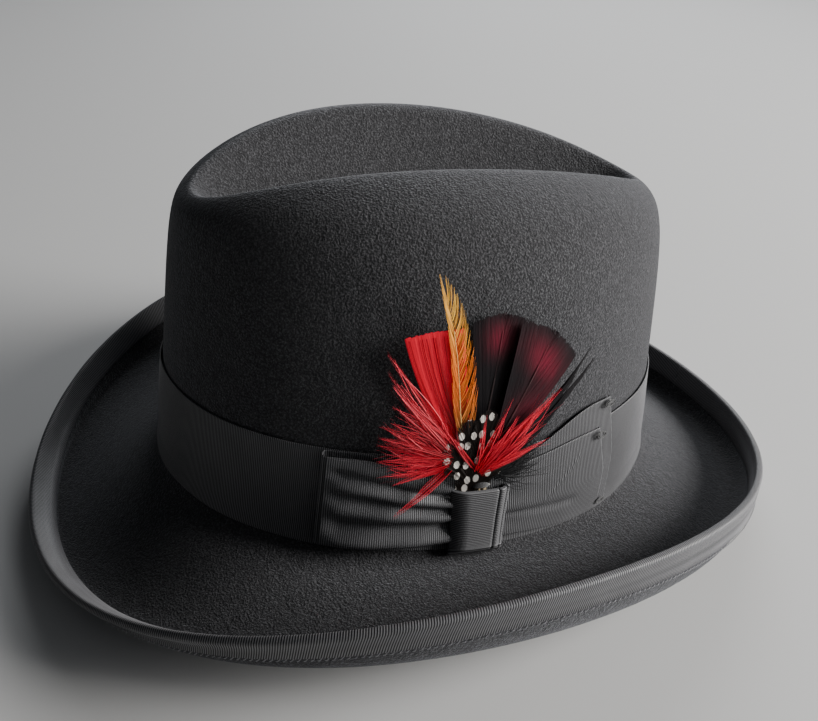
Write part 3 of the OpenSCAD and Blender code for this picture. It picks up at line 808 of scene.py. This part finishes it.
def make_rear_piece(bow, name, node, long, height, off, material, pleat):
    """Flat ribbon that fans out from the knot and turns under at its end."""
    turn = 0.7 * MM
    u = ribbon_columns(long + 0.6 * MM)
    v = across_steps(height, 24)
    phase = np.clip((u - long + turn) / turn, 0, np.pi / 2)
    reach = np.minimum(u, long - turn) + turn * np.sin(phase)
    low, high = fan_edges(reach, long * 1.1, height)
    z = low + (high - low) * v
    lean = 3.2 * MM * smooth(reach / long) * (1 - 2 * np.abs(v - 0.45))
    end = turn * (1 - np.cos(phase))
    far = reach / long
    along = smooth(far / 0.3) * (1 - smooth((far - 0.68) / 0.12))
    fold = along * valley(v, 0.33 - 0.08 * far, 0.035)
    fold = fold + 0.35 * valley(v, 0.72 + 0.1 * far, 0.04) * (1 - smooth((far - 0.35) / 0.3))
    crease = smooth((far - 0.44) / 0.06) * (1 - smooth((far - 0.76) / 0.06))
    fold = fold - 0.5 * crease * valley(v, 0.42 + 0.36 * (far - 0.5) / 0.28, 0.018)
    gather = 0.5 * MM * np.sin(v * 17 + 1) * (1 - smooth(far / 0.55))
    lift = 0.35 * MM * np.sin(np.pi * v) * smooth(far / 0.4)
    p = bow.lay(reach + lean, z, off - end - pleat * fold + gather + lift)
    obj = ribbon(name, p, u, v * height, material)
    dress(obj, HAT, node)


def make_knot(bow, material):
    """Band of ribbon over the middle of the bow: it runs up and down, so its ribs lie level."""
    tuck = 2.0 * MM
    u = ribbon_columns(KNOT_HIGH + 2 * tuck)
    v = np.linspace(-1, 1, 60)[None, :]
    rise = np.clip((u - tuck) / KNOT_HIGH, -0.12, 1.05)
    seen = np.clip(rise, 0, 1)
    half = KNOT_HALF * (0.87 + 0.13 * seen) * (1 - 0.04 * np.sin(np.pi * seen))
    s = half * v + 0.5 * MM * rise
    z = BAND_LOW + KNOT_HIGH * np.clip(rise, -0.06, 1.0)
    arch = np.cos(0.5 * np.pi * np.clip((np.abs(v) - 0.42) / 0.58, 0, 1)) ** 0.8
    d = KNOT_SIDE_OFF + (KNOT_OFF - KNOT_SIDE_OFF) * arch
    fold = 0.9 * valley(v, 0.5 + 0.03 * rise, 0.03) + 0.8 * valley(v, 0.83, 0.025)
    swell = 0.5 * valley(v, 0.66, 0.09) + 0.35 * valley(v, 0.93, 0.05)
    d = d + (swell - fold) * MM
    d = d - 5.2 * MM * smooth((tuck - u) / tuck) ** 2 * (0.4 + 0.6 * arch)
    d = d - 0.9 * MM * smooth((u - tuck - KNOT_HIGH) / tuck)
    across = (v + 1) * half
    obj = ribbon("bow_knot_ribbon", bow.lay(s, z, d), u, across, material, thick=0.9 * MM,
                 flip=True)
    dress(obj, HAT, "bow_knot")


def make_tacks(bow, material):
    """Small tangled hand knots at the corners of the rear pieces."""
    paths = []
    for s, z, off in ((58.0, 47.2, 3.0), (53.0, 36.4, 4.1), (56.5, 6.2, 3.0)):
        for k in range(5):
            t = np.linspace(0, 2 * np.pi * rng.uniform(0.6, 1.1), 16)
            size = rng.uniform(0.8, 2.3)
            phase = rng.uniform(0, 6.28)
            x = s + size * np.cos(t + phase) * 1.3 + rng.normal(0, 0.25)
            y = z + size * np.sin(t + phase) * 0.55 + rng.normal(0, 0.2)
            d = off + 0.35 + 0.45 * np.sin(t * 0.5 + k) ** 2
            paths.append(bow.lay(x * MM, y * MM, d * MM))
    obj = tubes("bow_tack_knots", np.array(paths), 0.2 * MM, material)
    dress(obj, HAT, "bow_tack_threads")


def make_quills(bow, horn, thread):
    """Bare ends of the quills in the pocket behind the knot, and the thread round them."""
    lo, hi = 6 * MM, 30 * MM
    t = np.linspace(0, 1, 10)[None, :]
    s = np.array([-2.0, -1.0, 0.1, 1.1, 2.1])[:, None] * MM * (1 - 0.2 * t)
    d = np.array([4.3, 5.1, 4.4, 5.2, 4.5])[:, None] * MM
    paths = bow.lay(s, lo + (hi - lo) * t, d)
    obj = tubes("quill_ends", paths, (0.35 + 0.3 * t) * MM, horn, 8)
    dress(obj, SPRAY, "feather_stem")
    turns = 9
    a = np.linspace(0, 2 * np.pi * turns, turns * 20)
    x = 2.9 * MM * np.cos(a)
    d = 4.8 * MM + 1.2 * MM * np.sin(a)
    z = np.linspace(28.8, 31.6, len(a)) * MM
    wrap = tubes("quill_binding", bow.lay(x, z, d)[None], 0.17 * MM, thread)
    dress(wrap, SPRAY, "feather_tied_base")


# ---- feathers

# Places of feathers are (s, z) pairs of a Bow, in millimetres.


def pairs(s, z):
    return np.stack([s, z], -1)


def jitter(reach, count):
    return rng.uniform(-reach, reach, count)


class Barbs:
    """Many thin tapering strips, each a curve on the wall given by root, control and tip."""

    ROWS = 9
    POCKET_TOP, POCKET_HALF = 25.0, 7     # within these the feathers lie close together, at
    POCKET_OFF = 4.6                      # this far off the wall; all three in millimetres

    def __init__(self, bow):
        self.bow = bow
        self.points, self.tints, self.places = [], [], []

    def add(self, root, control, tip, width, off, tint_root, tint_tip, point=0.12, lift=0.0,
            roll=0.35, shades=(0.8, 1.18)):
        """Places are in millimetres, (n, 2); width, off and lift are numbers or (n,) arrays."""
        n = len(root)
        f = np.linspace(0, 1, self.ROWS)[None, :, None]
        root, control, tip = root[:, None], control[:, None], tip[:, None]
        mid = (1 - f) ** 2 * root + 2 * f * (1 - f) * control + f * f * tip
        way = np.gradient(mid, axis=1)
        perp = unit(pairs(-way[..., 1], way[..., 0]))
        taper = (1 - (1 - point) * f**1.6) * (0.6 + 0.4 * np.clip(f * 6, 0, 1))
        width, off, lift = (np.broadcast_to(x, n)[:, None] for x in (width, off, lift))
        half = 0.5 * width[..., None] * taper
        d = off + lift * f[..., 0] ** 1.5
        roll = rng.uniform(-roll, roll, (n, 1)) * half[..., 0]
        sides, places = [], []
        for sign in (-1, 1):
            q = mid + sign * perp * half
            s, z = q[..., 0], q[..., 1]
            above, beside = (z - self.POCKET_TOP) / 6, (np.abs(s) - self.POCKET_HALF) / 5
            clear = np.maximum(smooth(above), smooth(beside))
            off_wall = self.POCKET_OFF + (d + sign * roll - self.POCKET_OFF) * clear
            sides.append(self.bow.over(s * MM, z * MM, off_wall * MM))
            places.append(q)
        self.points.append(np.stack(sides, 2))
        self.places.append(np.stack(places, 2))
        low, high = (np.asarray(x)[..., None, :] for x in (tint_root, tint_tip))
        tint = low * (1 - f) + high * f
        tint = np.broadcast_to(tint, (n, self.ROWS, 3)) * rng.uniform(*shades, (n, 1, 1))
        self.tints.append(np.repeat(tint[:, :, None], 2, 2))

    def shaft(self, line, width, step, off, colour):
        """Midrib along a line of places, each strip of it narrower by step."""
        for k, (a, b) in enumerate(zip(line[:-1, None], line[1:, None])):
            self.add(a, (a + b) / 2, b, width - step * k, off, colour, colour, 0.9)

    def build(self, name, material, node, paint=None):
        p, place, tint = (np.concatenate(x) for x in (self.points, self.places, self.tints))
        if paint:
            tint = paint(place[..., 0], place[..., 1], tint)
        start = np.arange(len(p))[:, None, None] * self.ROWS * 2
        faces = (grid_faces(self.ROWS, 2) + start).reshape(-1, 4)
        obj = piece(name, p.reshape(-1, 3), faces, material, place.reshape(-1, 2) * MM)
        layer = obj.data.color_attributes.new("tint", "FLOAT_COLOR", "POINT")
        rgba = np.concatenate([np.clip(tint, 0, 1), np.ones((*tint.shape[:-1], 1))], -1)
        layer.data.foreach_set("color", rgba.astype(np.float32).ravel())
        dress(obj, SPRAY, node)


def curve2(points, f):
    """Smooth line through a few places, at shares f of its length in points."""
    line = bspline(np.array([points], float), 12)[0]
    last = len(line) - 1
    return line[np.clip(np.round(f * last), 0, last).astype(int)]


def tuft(barbs, base, tip, count, spread, tint_root, tint_tip, off, lift, stray=0.2, width=0.27):
    """Pointed lock of hackle: barbs that leave the base, part a little and meet at the tip."""
    base, tip = np.array(base, float), np.array(tip, float)
    way = tip - base
    long = np.linalg.norm(way)
    side = np.array([-way[1], way[0]]) / long
    part = rng.normal(0, 1, count)
    wild = rng.random(count) < stray
    wide = side * part[:, None] * long * spread
    root = base + way * rng.uniform(0, 0.22, (count, 1)) + wide * 0.05
    end = tip - way * (rng.random((count, 1)) ** 1.4) * 0.42
    drift = np.where(wild, rng.normal(0, 0.11, count), rng.normal(0, 0.012, count))
    end = end + side * (drift * long)[:, None]
    control = base + way * rng.uniform(0.42, 0.62, (count, 1)) + wide * 0.09
    widths = np.where(wild, 0.12, width) * rng.uniform(0.7, 1.2, count)
    barbs.add(root, control, end, widths, off + jitter(0.6, count), tint_root,
              tint_tip, 0.1, lift * rng.uniform(0.3, 1.5, count), roll=0.9, shades=(0.45, 1.25))


# painted shade and highlight in the hackle locks: the deep red at their roots paints shade where
# the barbs crowd together, and the light tip colour is crimson lightened with a painted highlight
RED_DEEP, RED = (0.45, 0.001, 0.012), (0.96, 0.006, 0.036)
RED_WITH_PAINTED_HIGHLIGHT = (0.98, 0.04, 0.075)
GOLD, ORANGE, OLIVE = (0.95, 0.46, 0.06), (0.95, 0.2, 0.012), (0.23, 0.125, 0.04)
BLACK, WINE = (0.004, 0.003, 0.004), (0.15, 0.005, 0.02)


def make_yellow(bow, material):
    barbs = Barbs(bow)
    shaft = [(-3.5, 33), (-7.2, 49), (-9.0, 64), (-10.8, 77), (-14.3, 91), (-20.0, 104)]
    count = 240
    f = np.sort(rng.uniform(0.2, 1.0, count))
    clump = np.round(f * 44 + rng.normal(0, 0.3, count)) / 44
    side = np.where(np.arange(count) % 2 == 0, 1.0, -1.0)
    reach = 0.11 + 0.09 * smooth((1 - f) / 0.5)       # how far down the shaft each barb starts
    at = curve2(shaft, f - reach)
    beside, ahead = curve2(shaft, f + 0.4 * (clump - f)), curve2(shaft, f + 0.03)
    way = unit(ahead - at + [0, 1e-3])
    perp = pairs(way[:, 1], -way[:, 0])
    breadth = np.where(side > 0, 7.0, 2.9) * (1 - f ** np.where(side > 0, 4.5, 3)) ** 0.6
    breadth = breadth * smooth((f - 0.1) / 0.25) * rng.uniform(0.5, 1.06, count) ** 0.6
    aside = perp * (side * breadth)[:, None]
    end = beside + aside
    control = at * 0.55 + beside * 0.45 + aside * 0.75

    def tone(z):
        orange, gold = smooth((z[:, None] - 44) / 22), smooth((z[:, None] - 74) / 16)
        low = np.array(OLIVE) * (1 - orange) + np.array(ORANGE) * orange
        return low * (1 - gold) + np.array(GOLD) * gold

    barbs.add(at, control, end, rng.uniform(0.26, 0.44, count),
              6.6 + jitter(0.25, count), tone(at[:, 1]), tone(end[:, 1]), 0.14, 0.9,
              shades=(0.75, 1.25))
    barbs.shaft(curve2(shaft, np.linspace(0, 1, 8)), 0.42, 0.045, 6.9, (0.5, 0.3, 0.1))
    barbs.build("yellow_hackle", material, "feather_yellow")


def make_red_quill(bow, material):
    barbs = Barbs(bow)
    count = 110
    f = np.linspace(0, 1, count)
    top = pairs(-30.3 + 21 * f, 82.4 + 3.2 * f + 0.8 * np.sin(np.pi * f))
    top = top + rng.normal(0, 0.18, (count, 2))
    root = pairs(-4.5 + 1.5 * f, 36 + 5 * f)
    control = pairs(-22.0 + 16 * f, 57 + 3 * f)
    barbs.add(root, control, top, 0.75, 5.4 + 0.2 * (np.arange(count) % 2), RED, RED, 0.95, 0.4,
              roll=0.1, shades=(0.85, 1.1))
    streak = rng.random(26)
    top = pairs(-29.5 + 20 * streak, 81.6 + 3 * streak)
    root = pairs(-4.5 + 1.5 * streak, 38 + 4 * streak)
    control = pairs(-21.5 + 16 * streak, 58 + 3 * streak)
    barbs.add(root, control, top, 0.3, 5.95, RED_DEEP, RED_DEEP, 0.5, 0.4)
    barbs.build("red_quill_vane", material, "feather_red_quill")


def fan_feather(barbs, foot, tip, left, right, count, off, sag=0.0):
    """Broad cut feather: barbs leave its shaft and end along an arc from left to right."""
    foot, tip, left, right = (np.array(x, float) for x in (foot, tip, left, right))
    f = np.linspace(-1, 1, count)[:, None]
    mid = 2 * tip - (left + right) / 2
    t = (f + 1) / 2
    top = (1 - t) ** 2 * left + 2 * t * (1 - t) * mid + t * t * right
    split = np.sin(f * 47) * np.sin(f * 19 + 1)
    top = top + rng.normal(0, 0.22, (count, 2)) - 0.9 * (split > 0.72) * unit(top - foot)
    start = 0.08 + 0.7 * (1 - np.abs(f)) ** 1.2
    root = foot + (tip - foot) * start
    control = root + (tip - foot) * 0.30 + (top - tip) * 0.42 + np.array([0, -sag]) * np.abs(f)
    barbs.add(root, control, top, rng.uniform(0.5, 0.72, count),
              off + jitter(0.06, count), BLACK, BLACK, 0.8, 0.5, roll=0.08)
    line = foot + (tip - foot) * np.linspace(0, 0.9, 7)[:, None]
    barbs.shaft(line, 0.8, 0.09, off + 0.35, (0.03, 0.02, 0.02))


def wine_patches(s, z, tint):
    """Where the dark feathers show dark red through."""
    ray = np.abs(np.sin(s * 2.3 + z * 0.4)) * 0.5 + 0.5
    front = np.exp(-(((s - 5.5) / 5.5) ** 2) - ((z - 81.5) / 5.2) ** 2)
    rear = np.exp(-(((s - 26) / 8.0) ** 2) - ((z - 71 + (s - 26) * 0.55) / 7.0) ** 2)
    low = np.exp(-(((s - 22) / 9.0) ** 2) - ((z - 54) / 6.0) ** 2) * 0.5
    share = np.clip((0.85 * front + 1.0 * rear + low) * ray, 0, 1)[..., None]
    return tint * (1 - share) + np.array(WINE) * share


def make_dark_fan(bow, material):
    front = Barbs(bow)
    fan_feather(front, (0, 34), (7.5, 89.8), (-6.0, 87.2), (21.5, 84.5), 150, 4.4)
    front.build("dark_fan_front", material, "feather_dark_front", wine_patches)
    rear = Barbs(bow)
    fan_feather(rear, (4, 36), (30.0, 81.2), (15.0, 86.0), (41.0, 70.2), 150, 6.6, sag=1.5)
    rear.build("dark_fan_rear", material, "feather_dark_rear", wine_patches)
    biots = Barbs(bow)
    ends = [(49.5, 71.5), (51.5, 66.5), (45.5, 68.0), (47.0, 63.0), (41.0, 62.5), (38, 57)]
    for k, end in enumerate(ends):
        n = 9
        base = np.array([10 + 1.2 * k, 42 - 0.6 * k])
        root = base + rng.normal(0, 0.4, (n, 2))
        tip = np.array(end) + rng.normal(0, 0.35, (n, 2))
        side = rng.normal(0, 0.8, (n, 1)) * np.array([[-0.5, 0.85]])
        control = (root + tip) / 2 + side + np.array([1.5, -2.5])
        biots.add(root, control, tip, rng.uniform(0.9, 1.3, n),
                  5.5 + 0.3 * (k % 3) + jitter(0.1, n), BLACK, (0.003, 0.002, 0.003),
                  0.06, 1.0, roll=0.1)
    biots.build("black_biots", material, "feather_black_biot")


def make_red_hackles(bow, material):
    # painted shade and highlight: each lock runs from deep red painted shade at its root to crimson
    # with a painted highlight at its tip
    front = Barbs(bow)
    base = (-9.5, 37.5)
    tips = [(-36.5, 78.5), (-35.5, 71), (-33.5, 66), (-32.5, 58.5), (-27, 60), (-33, 52),
            (-36.5, 51), (-37, 46.5), (-35, 44.5), (-37, 43), (-34.5, 40.5), (-36.5, 37),
            (-33, 34), (-36.5, 30.5), (-29.5, 14.5), (-31, 27.5)]
    for k, tip in enumerate(tips):
        slim = tip[1] > 62 or tip[1] < 33
        rise = 2.5 if tip[1] > 55 else -1.5 if tip[1] < 35 else 0
        start = (base[0] + rng.normal(0, 0.5), base[1] + rise)
        count, spread, stray = (20, 0.55, 0.12) if slim else (28, 0.95, 0.25)
        tuft(front, start, tip, count, spread, RED_DEEP, RED_WITH_PAINTED_HIGHLIGHT, 7.6 + 0.2 * (k % 4), 1.2, stray)
    for k in range(90):
        a = rng.uniform(0.55, 1.25) * np.pi
        reach = rng.uniform(12, 24)
        tip = (base[0] + reach * math.cos(a), base[1] + 3 + reach * 0.8 * math.sin(a))
        tuft(front, base, tip, 1, 1.0, RED_DEEP, RED_WITH_PAINTED_HIGHLIGHT, 7.3 + rng.uniform(-0.3, 0.5), 1.5,
             stray=0.6, width=0.2)
    front.build("red_hackle_front", material, "hackle_red_front")
    rear = Barbs(bow)
    base = (0.5, 31.5)
    tips = [(-13.5, 50.5), (2.5, 54), (13.0, 59.5), (16, 52), (34.5, 59.2), (30, 56.5),
            (26, 54), (28.5, 47.5), (24, 45), (31.5, 40.5), (26, 38.5), (20, 50)]
    for k, tip in enumerate(tips):
        slim = k in (0, 1, 2, 9, 10)
        count, spread, stray = (20, 0.42, 0.08) if slim else (28, 0.7, 0.2)
        tuft(rear, base, tip, count, spread, RED_DEEP, RED_WITH_PAINTED_HIGHLIGHT, 8.6 + 0.15 * (k % 4), 0.9, stray)
    rear.build("red_hackle_rear", material, "hackle_red_rear")


def make_guinea(bow, material):
    barbs = Barbs(bow)
    for foot, tip, half, off in (
        ((-1.5, 26.5), (-4.0, 52.5), 6.5, 7.4), ((0.5, 26.5), (4.0, 55.5), 6.0, 7.7),
        ((-2.5, 26.0), (-10.5, 44.5), 6.2, 8.0), ((1.5, 25.5), (7.5, 42.5), 6.0, 8.2),
        ((-0.5, 19.0), (-1.0, 36.5), 7.0, 8.4),
    ):
        foot, tip = np.array(foot), np.array(tip)
        way = tip - foot
        side = np.array([way[1], -way[0]]) / np.linalg.norm(way)
        count = 90
        f = np.linspace(-1, 1, count)[:, None]
        a = f * np.pi * 0.62
        centre = foot + way * 0.56
        rim = centre + way * 0.44 * np.cos(a) + side * half * np.sin(a)
        rim = rim + rng.normal(0, 0.16, (count, 2))
        root = foot + way * (0.05 + 0.5 * (1 - np.abs(f)))
        control = (root + rim) / 2 + way * 0.08
        barbs.add(root, control, rim, 0.55, off + jitter(0.1, count), BLACK, BLACK,
                  0.5, 0.3)
    barbs.build("guinea_feathers", material, "feather_guinea")


def make_marabou(bow, material):
    barbs = Barbs(bow)
    count = 340
    a = rng.normal(0.55, 0.42, count)
    reach = np.abs(rng.normal(10, 5, count)) + 4
    root = np.array([9.0, 30.0]) + rng.normal(0, 1.1, (count, 2))
    tip = root + pairs(np.cos(a), np.sin(a)) * reach[:, None]
    sideways = pairs(-np.sin(a), np.cos(a))
    bend = rng.normal(0, 0.25, (count, 1)) * sideways * reach[:, None]
    control = (root + tip) / 2 + bend + [0, 1.2]
    grey = np.array((0.004, 0.004, 0.0045)) * rng.uniform(0.4, 2.2, (count, 1))
    barbs.add(root, control, tip, rng.uniform(0.18, 0.4, count),
              4.9 + rng.uniform(-0.2, 1.2, count), grey, grey * 1.4, 0.2, 0.8)
    wisps = 46
    end = pairs(rng.uniform(20, 40, wisps), rng.uniform(34, 49, wisps))
    start = np.array([10.0, 31.0]) + rng.normal(0, 0.8, (wisps, 2))
    middle = (start + end) / 2 + pairs(np.zeros(wisps), rng.uniform(0, 5, wisps))
    barbs.add(start, middle, end, 0.1, 5.2 + rng.uniform(0, 0.9, wisps), (0.015, 0.015, 0.017),
              (0.02, 0.02, 0.022), 0.3, 0.6)
    barbs.build("marabou_tuft", material, "marabou_fluff")


# ---- inside of the hat


def make_sweatband(wall, leather, thread, reed_look):
    girth = wall.girth(SWEAT_MID, -SWEAT_OFF)
    along = np.linspace(0, girth[-1], 720, endpoint=False)[:, None]
    angle = np.interp(along, girth, DEGREES)
    v = across_steps(SWEAT_WIDE, 22)
    t = np.radians(angle)
    ease = 0.12 * MM * np.sin(6 * t + 5 * v) + 0.07 * MM * np.sin(21 * t + 9 * v)
    groove = 0.18 * MM * (valley(v, 0.93, 0.008) + valley(v, 0.11, 0.008))
    p = wall.at(angle, SWEAT_LOW + SWEAT_WIDE * v, -SWEAT_OFF - ease + groove)
    obj = ribbon("sweatband_leather", p, along, SWEAT_WIDE * v, leather, thick=0.9 * MM, rib=0.0,
                 wrap=True)
    dress(obj, HAT, "sweatband")
    pitch, long = 3.0 * MM, 0.68
    start = np.arange(0, girth[-1] - pitch, pitch)
    at, to = (np.interp(x, girth, DEGREES) for x in (start, start + long * pitch))
    level, face = SWEAT_LOW + 2.6 * MM, -SWEAT_OFF - 0.62 * MM
    lift = -wall.frame(at, level)[1] @ TO_ROW.T
    obj = stitches("sweatband_stitches", wall.at(at, level, face), wall.at(to, level, face), lift,
                   thread)
    dress(obj, HAT, "sweatband_thread")
    reed = welded_copy("sweatband_reed", 2, "sweatband_reed_cord", reed_look)
    dress(reed, HAT, "sweatband_reed")


def make_tape_and_bow(wall, satin):
    lo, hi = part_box("sweatband_seam_tape")
    heights = to_hat(np.array([lo, hi]))[:, 2]
    low, high = heights.min() + 0.5 * MM, heights.max() - 0.5 * MM
    ends = wall.at(np.array([176, 184]), SWEAT_MID, -SWEAT_OFF)
    rate = np.linalg.norm(ends[1] - ends[0]) / 8      # metres to a degree at the back
    u = np.linspace(0, 1, 40)[:, None]
    v = np.linspace(-1, 1, 14)[None, :]
    tape_off = SWEAT_OFF + 0.9 * MM
    along = (high - low) * u
    p = wall.at(180 + TAPE_HALF * v / rate, low + along, -tape_off - 0.05 * MM * np.sin(20 * u))
    obj = ribbon("seam_tape_ribbon", p, along, TAPE_HALF * (v + 1), satin, rib=0.0)
    dress(obj, HAT, "sweatband_seam_tape")
    a = np.linspace(0, 2 * np.pi, 97)[:, None]
    w = np.linspace(-1, 1, 10)[None, :]
    reach = np.sin(a) * 10 * MM
    waist = 0.3 + 0.7 * np.abs(np.sin(a)) ** 0.7
    middle = 18 * MM + 1.0 * MM * np.cos(a) * np.abs(np.sin(a))
    puff = (1 - np.cos(2 * a)) * np.where(np.cos(a) > 0, 1.0, 0.15)
    p = wall.at(180 + reach / rate, middle + SATIN_BOW_HALF * w * waist,
                -tape_off - 0.55 * MM - 0.45 * MM * puff)
    obj = ribbon("small_satin_bow", p, run_of(p[:, 5])[:, None], SATIN_BOW_HALF * (w + 1), satin,
                 thick=0.25 * MM, rib=0.0)
    dress(obj, HAT, "sweatband_bow")


def make_lining(satin):
    """Satin side with loose upright gathers, a sewn-in tip and a piping cord between them."""
    side = welded_copy("lining_side", 3, "lining_side_satin", satin)
    p = to_hat(coords(side.data))
    t = np.arctan2(p[:, 0], -p[:, 1])
    share = np.clip((p[:, 2] - p[:, 2].min()) / np.ptp(p[:, 2]), 0, 1)
    gather = np.abs(np.sin(31 * t + 1.5 * np.sin(7 * t))) ** 0.6 * (0.25 + 0.75 * share)
    gather = gather * np.clip((1 - share) * 7, 0, 1) * np.clip(share * 8, 0, 1)
    inward = -p[:, :2] / np.linalg.norm(p[:, :2], axis=1, keepdims=True)
    p[:, :2] += inward * (gather * 1.3 * MM)[:, None]
    set_coords(side.data, to_row(p))
    tip = welded_copy("lining_tip", 2, "lining_tip_satin", satin)
    q = to_hat(coords(tip.data))
    q[:, 2] += 0.35 * MM * np.sin(q[:, 0] * 160) * np.sin(q[:, 1] * 120 + 1)
    set_coords(tip.data, to_row(q))
    cord = welded_copy("lining_piping", 2, "lining_piping_cord", satin)
    for obj, node in ((side, "lining_side"), (tip, "lining_tip"), (cord, "lining_piping")):
        dress(obj, HAT, node)


# ---- the whole hat

make_camera()
make_studio()
felt = make_felt()
wall = Wall(felt)
bow = Bow(wall)
# painted highlight: the last colour given to each grosgrain, here and for the binding, is the light
# colour painted on the rib tops
grosgrain = grosgrain_material("grosgrain", FINE_RIB, (0.17, 0.17, 0.178))
dark_thread = plain_thread("dark_thread", (0.008, 0.008, 0.009))
satin = satin_material()
make_band(wall, grosgrain)
broad_grosgrain = grosgrain_material("binding_grosgrain", BROAD_RIB, (0.24, 0.24, 0.25))
edge, down, face = make_binding(broad_grosgrain)
make_binding_thread(edge, down, face, plain_thread("grey_thread", (0.32, 0.32, 0.34)))
make_rear_piece(bow, "bow_rear_tail_ribbon", "bow_rear_tail", TAIL_LONG, TAIL_HIGH, TAIL_OFF,
                grosgrain, 0.15 * MM)
make_rear_piece(bow, "bow_rear_leaf_ribbon", "bow_rear_leaf", LEAF_LONG, LEAF_HIGH, LEAF_OFF,
                grosgrain, 0.8 * MM)
make_front_loop(bow, grosgrain)
make_knot(bow, grosgrain)
make_tacks(bow, dark_thread)
make_quills(bow, plain_thread("horn", (0.35, 0.27, 0.16), 0.4), dark_thread)
vane = feather_material("feather_vane")
make_yellow(bow, vane)
make_red_quill(bow, vane)
make_dark_fan(bow, feather_material("dark_vane", rough=0.6, gloss=0.14))
make_red_hackles(bow, vane)
make_guinea(bow, guinea_material())
make_marabou(bow, feather_material("fluff", rough=0.6))
make_sweatband(wall, leather_material(), plain_thread("pale_thread", (0.2, 0.19, 0.17)),
               plain_thread("reed", (0.05, 0.045, 0.04)))
make_tape_and_bow(wall, satin)
make_lining(satin)
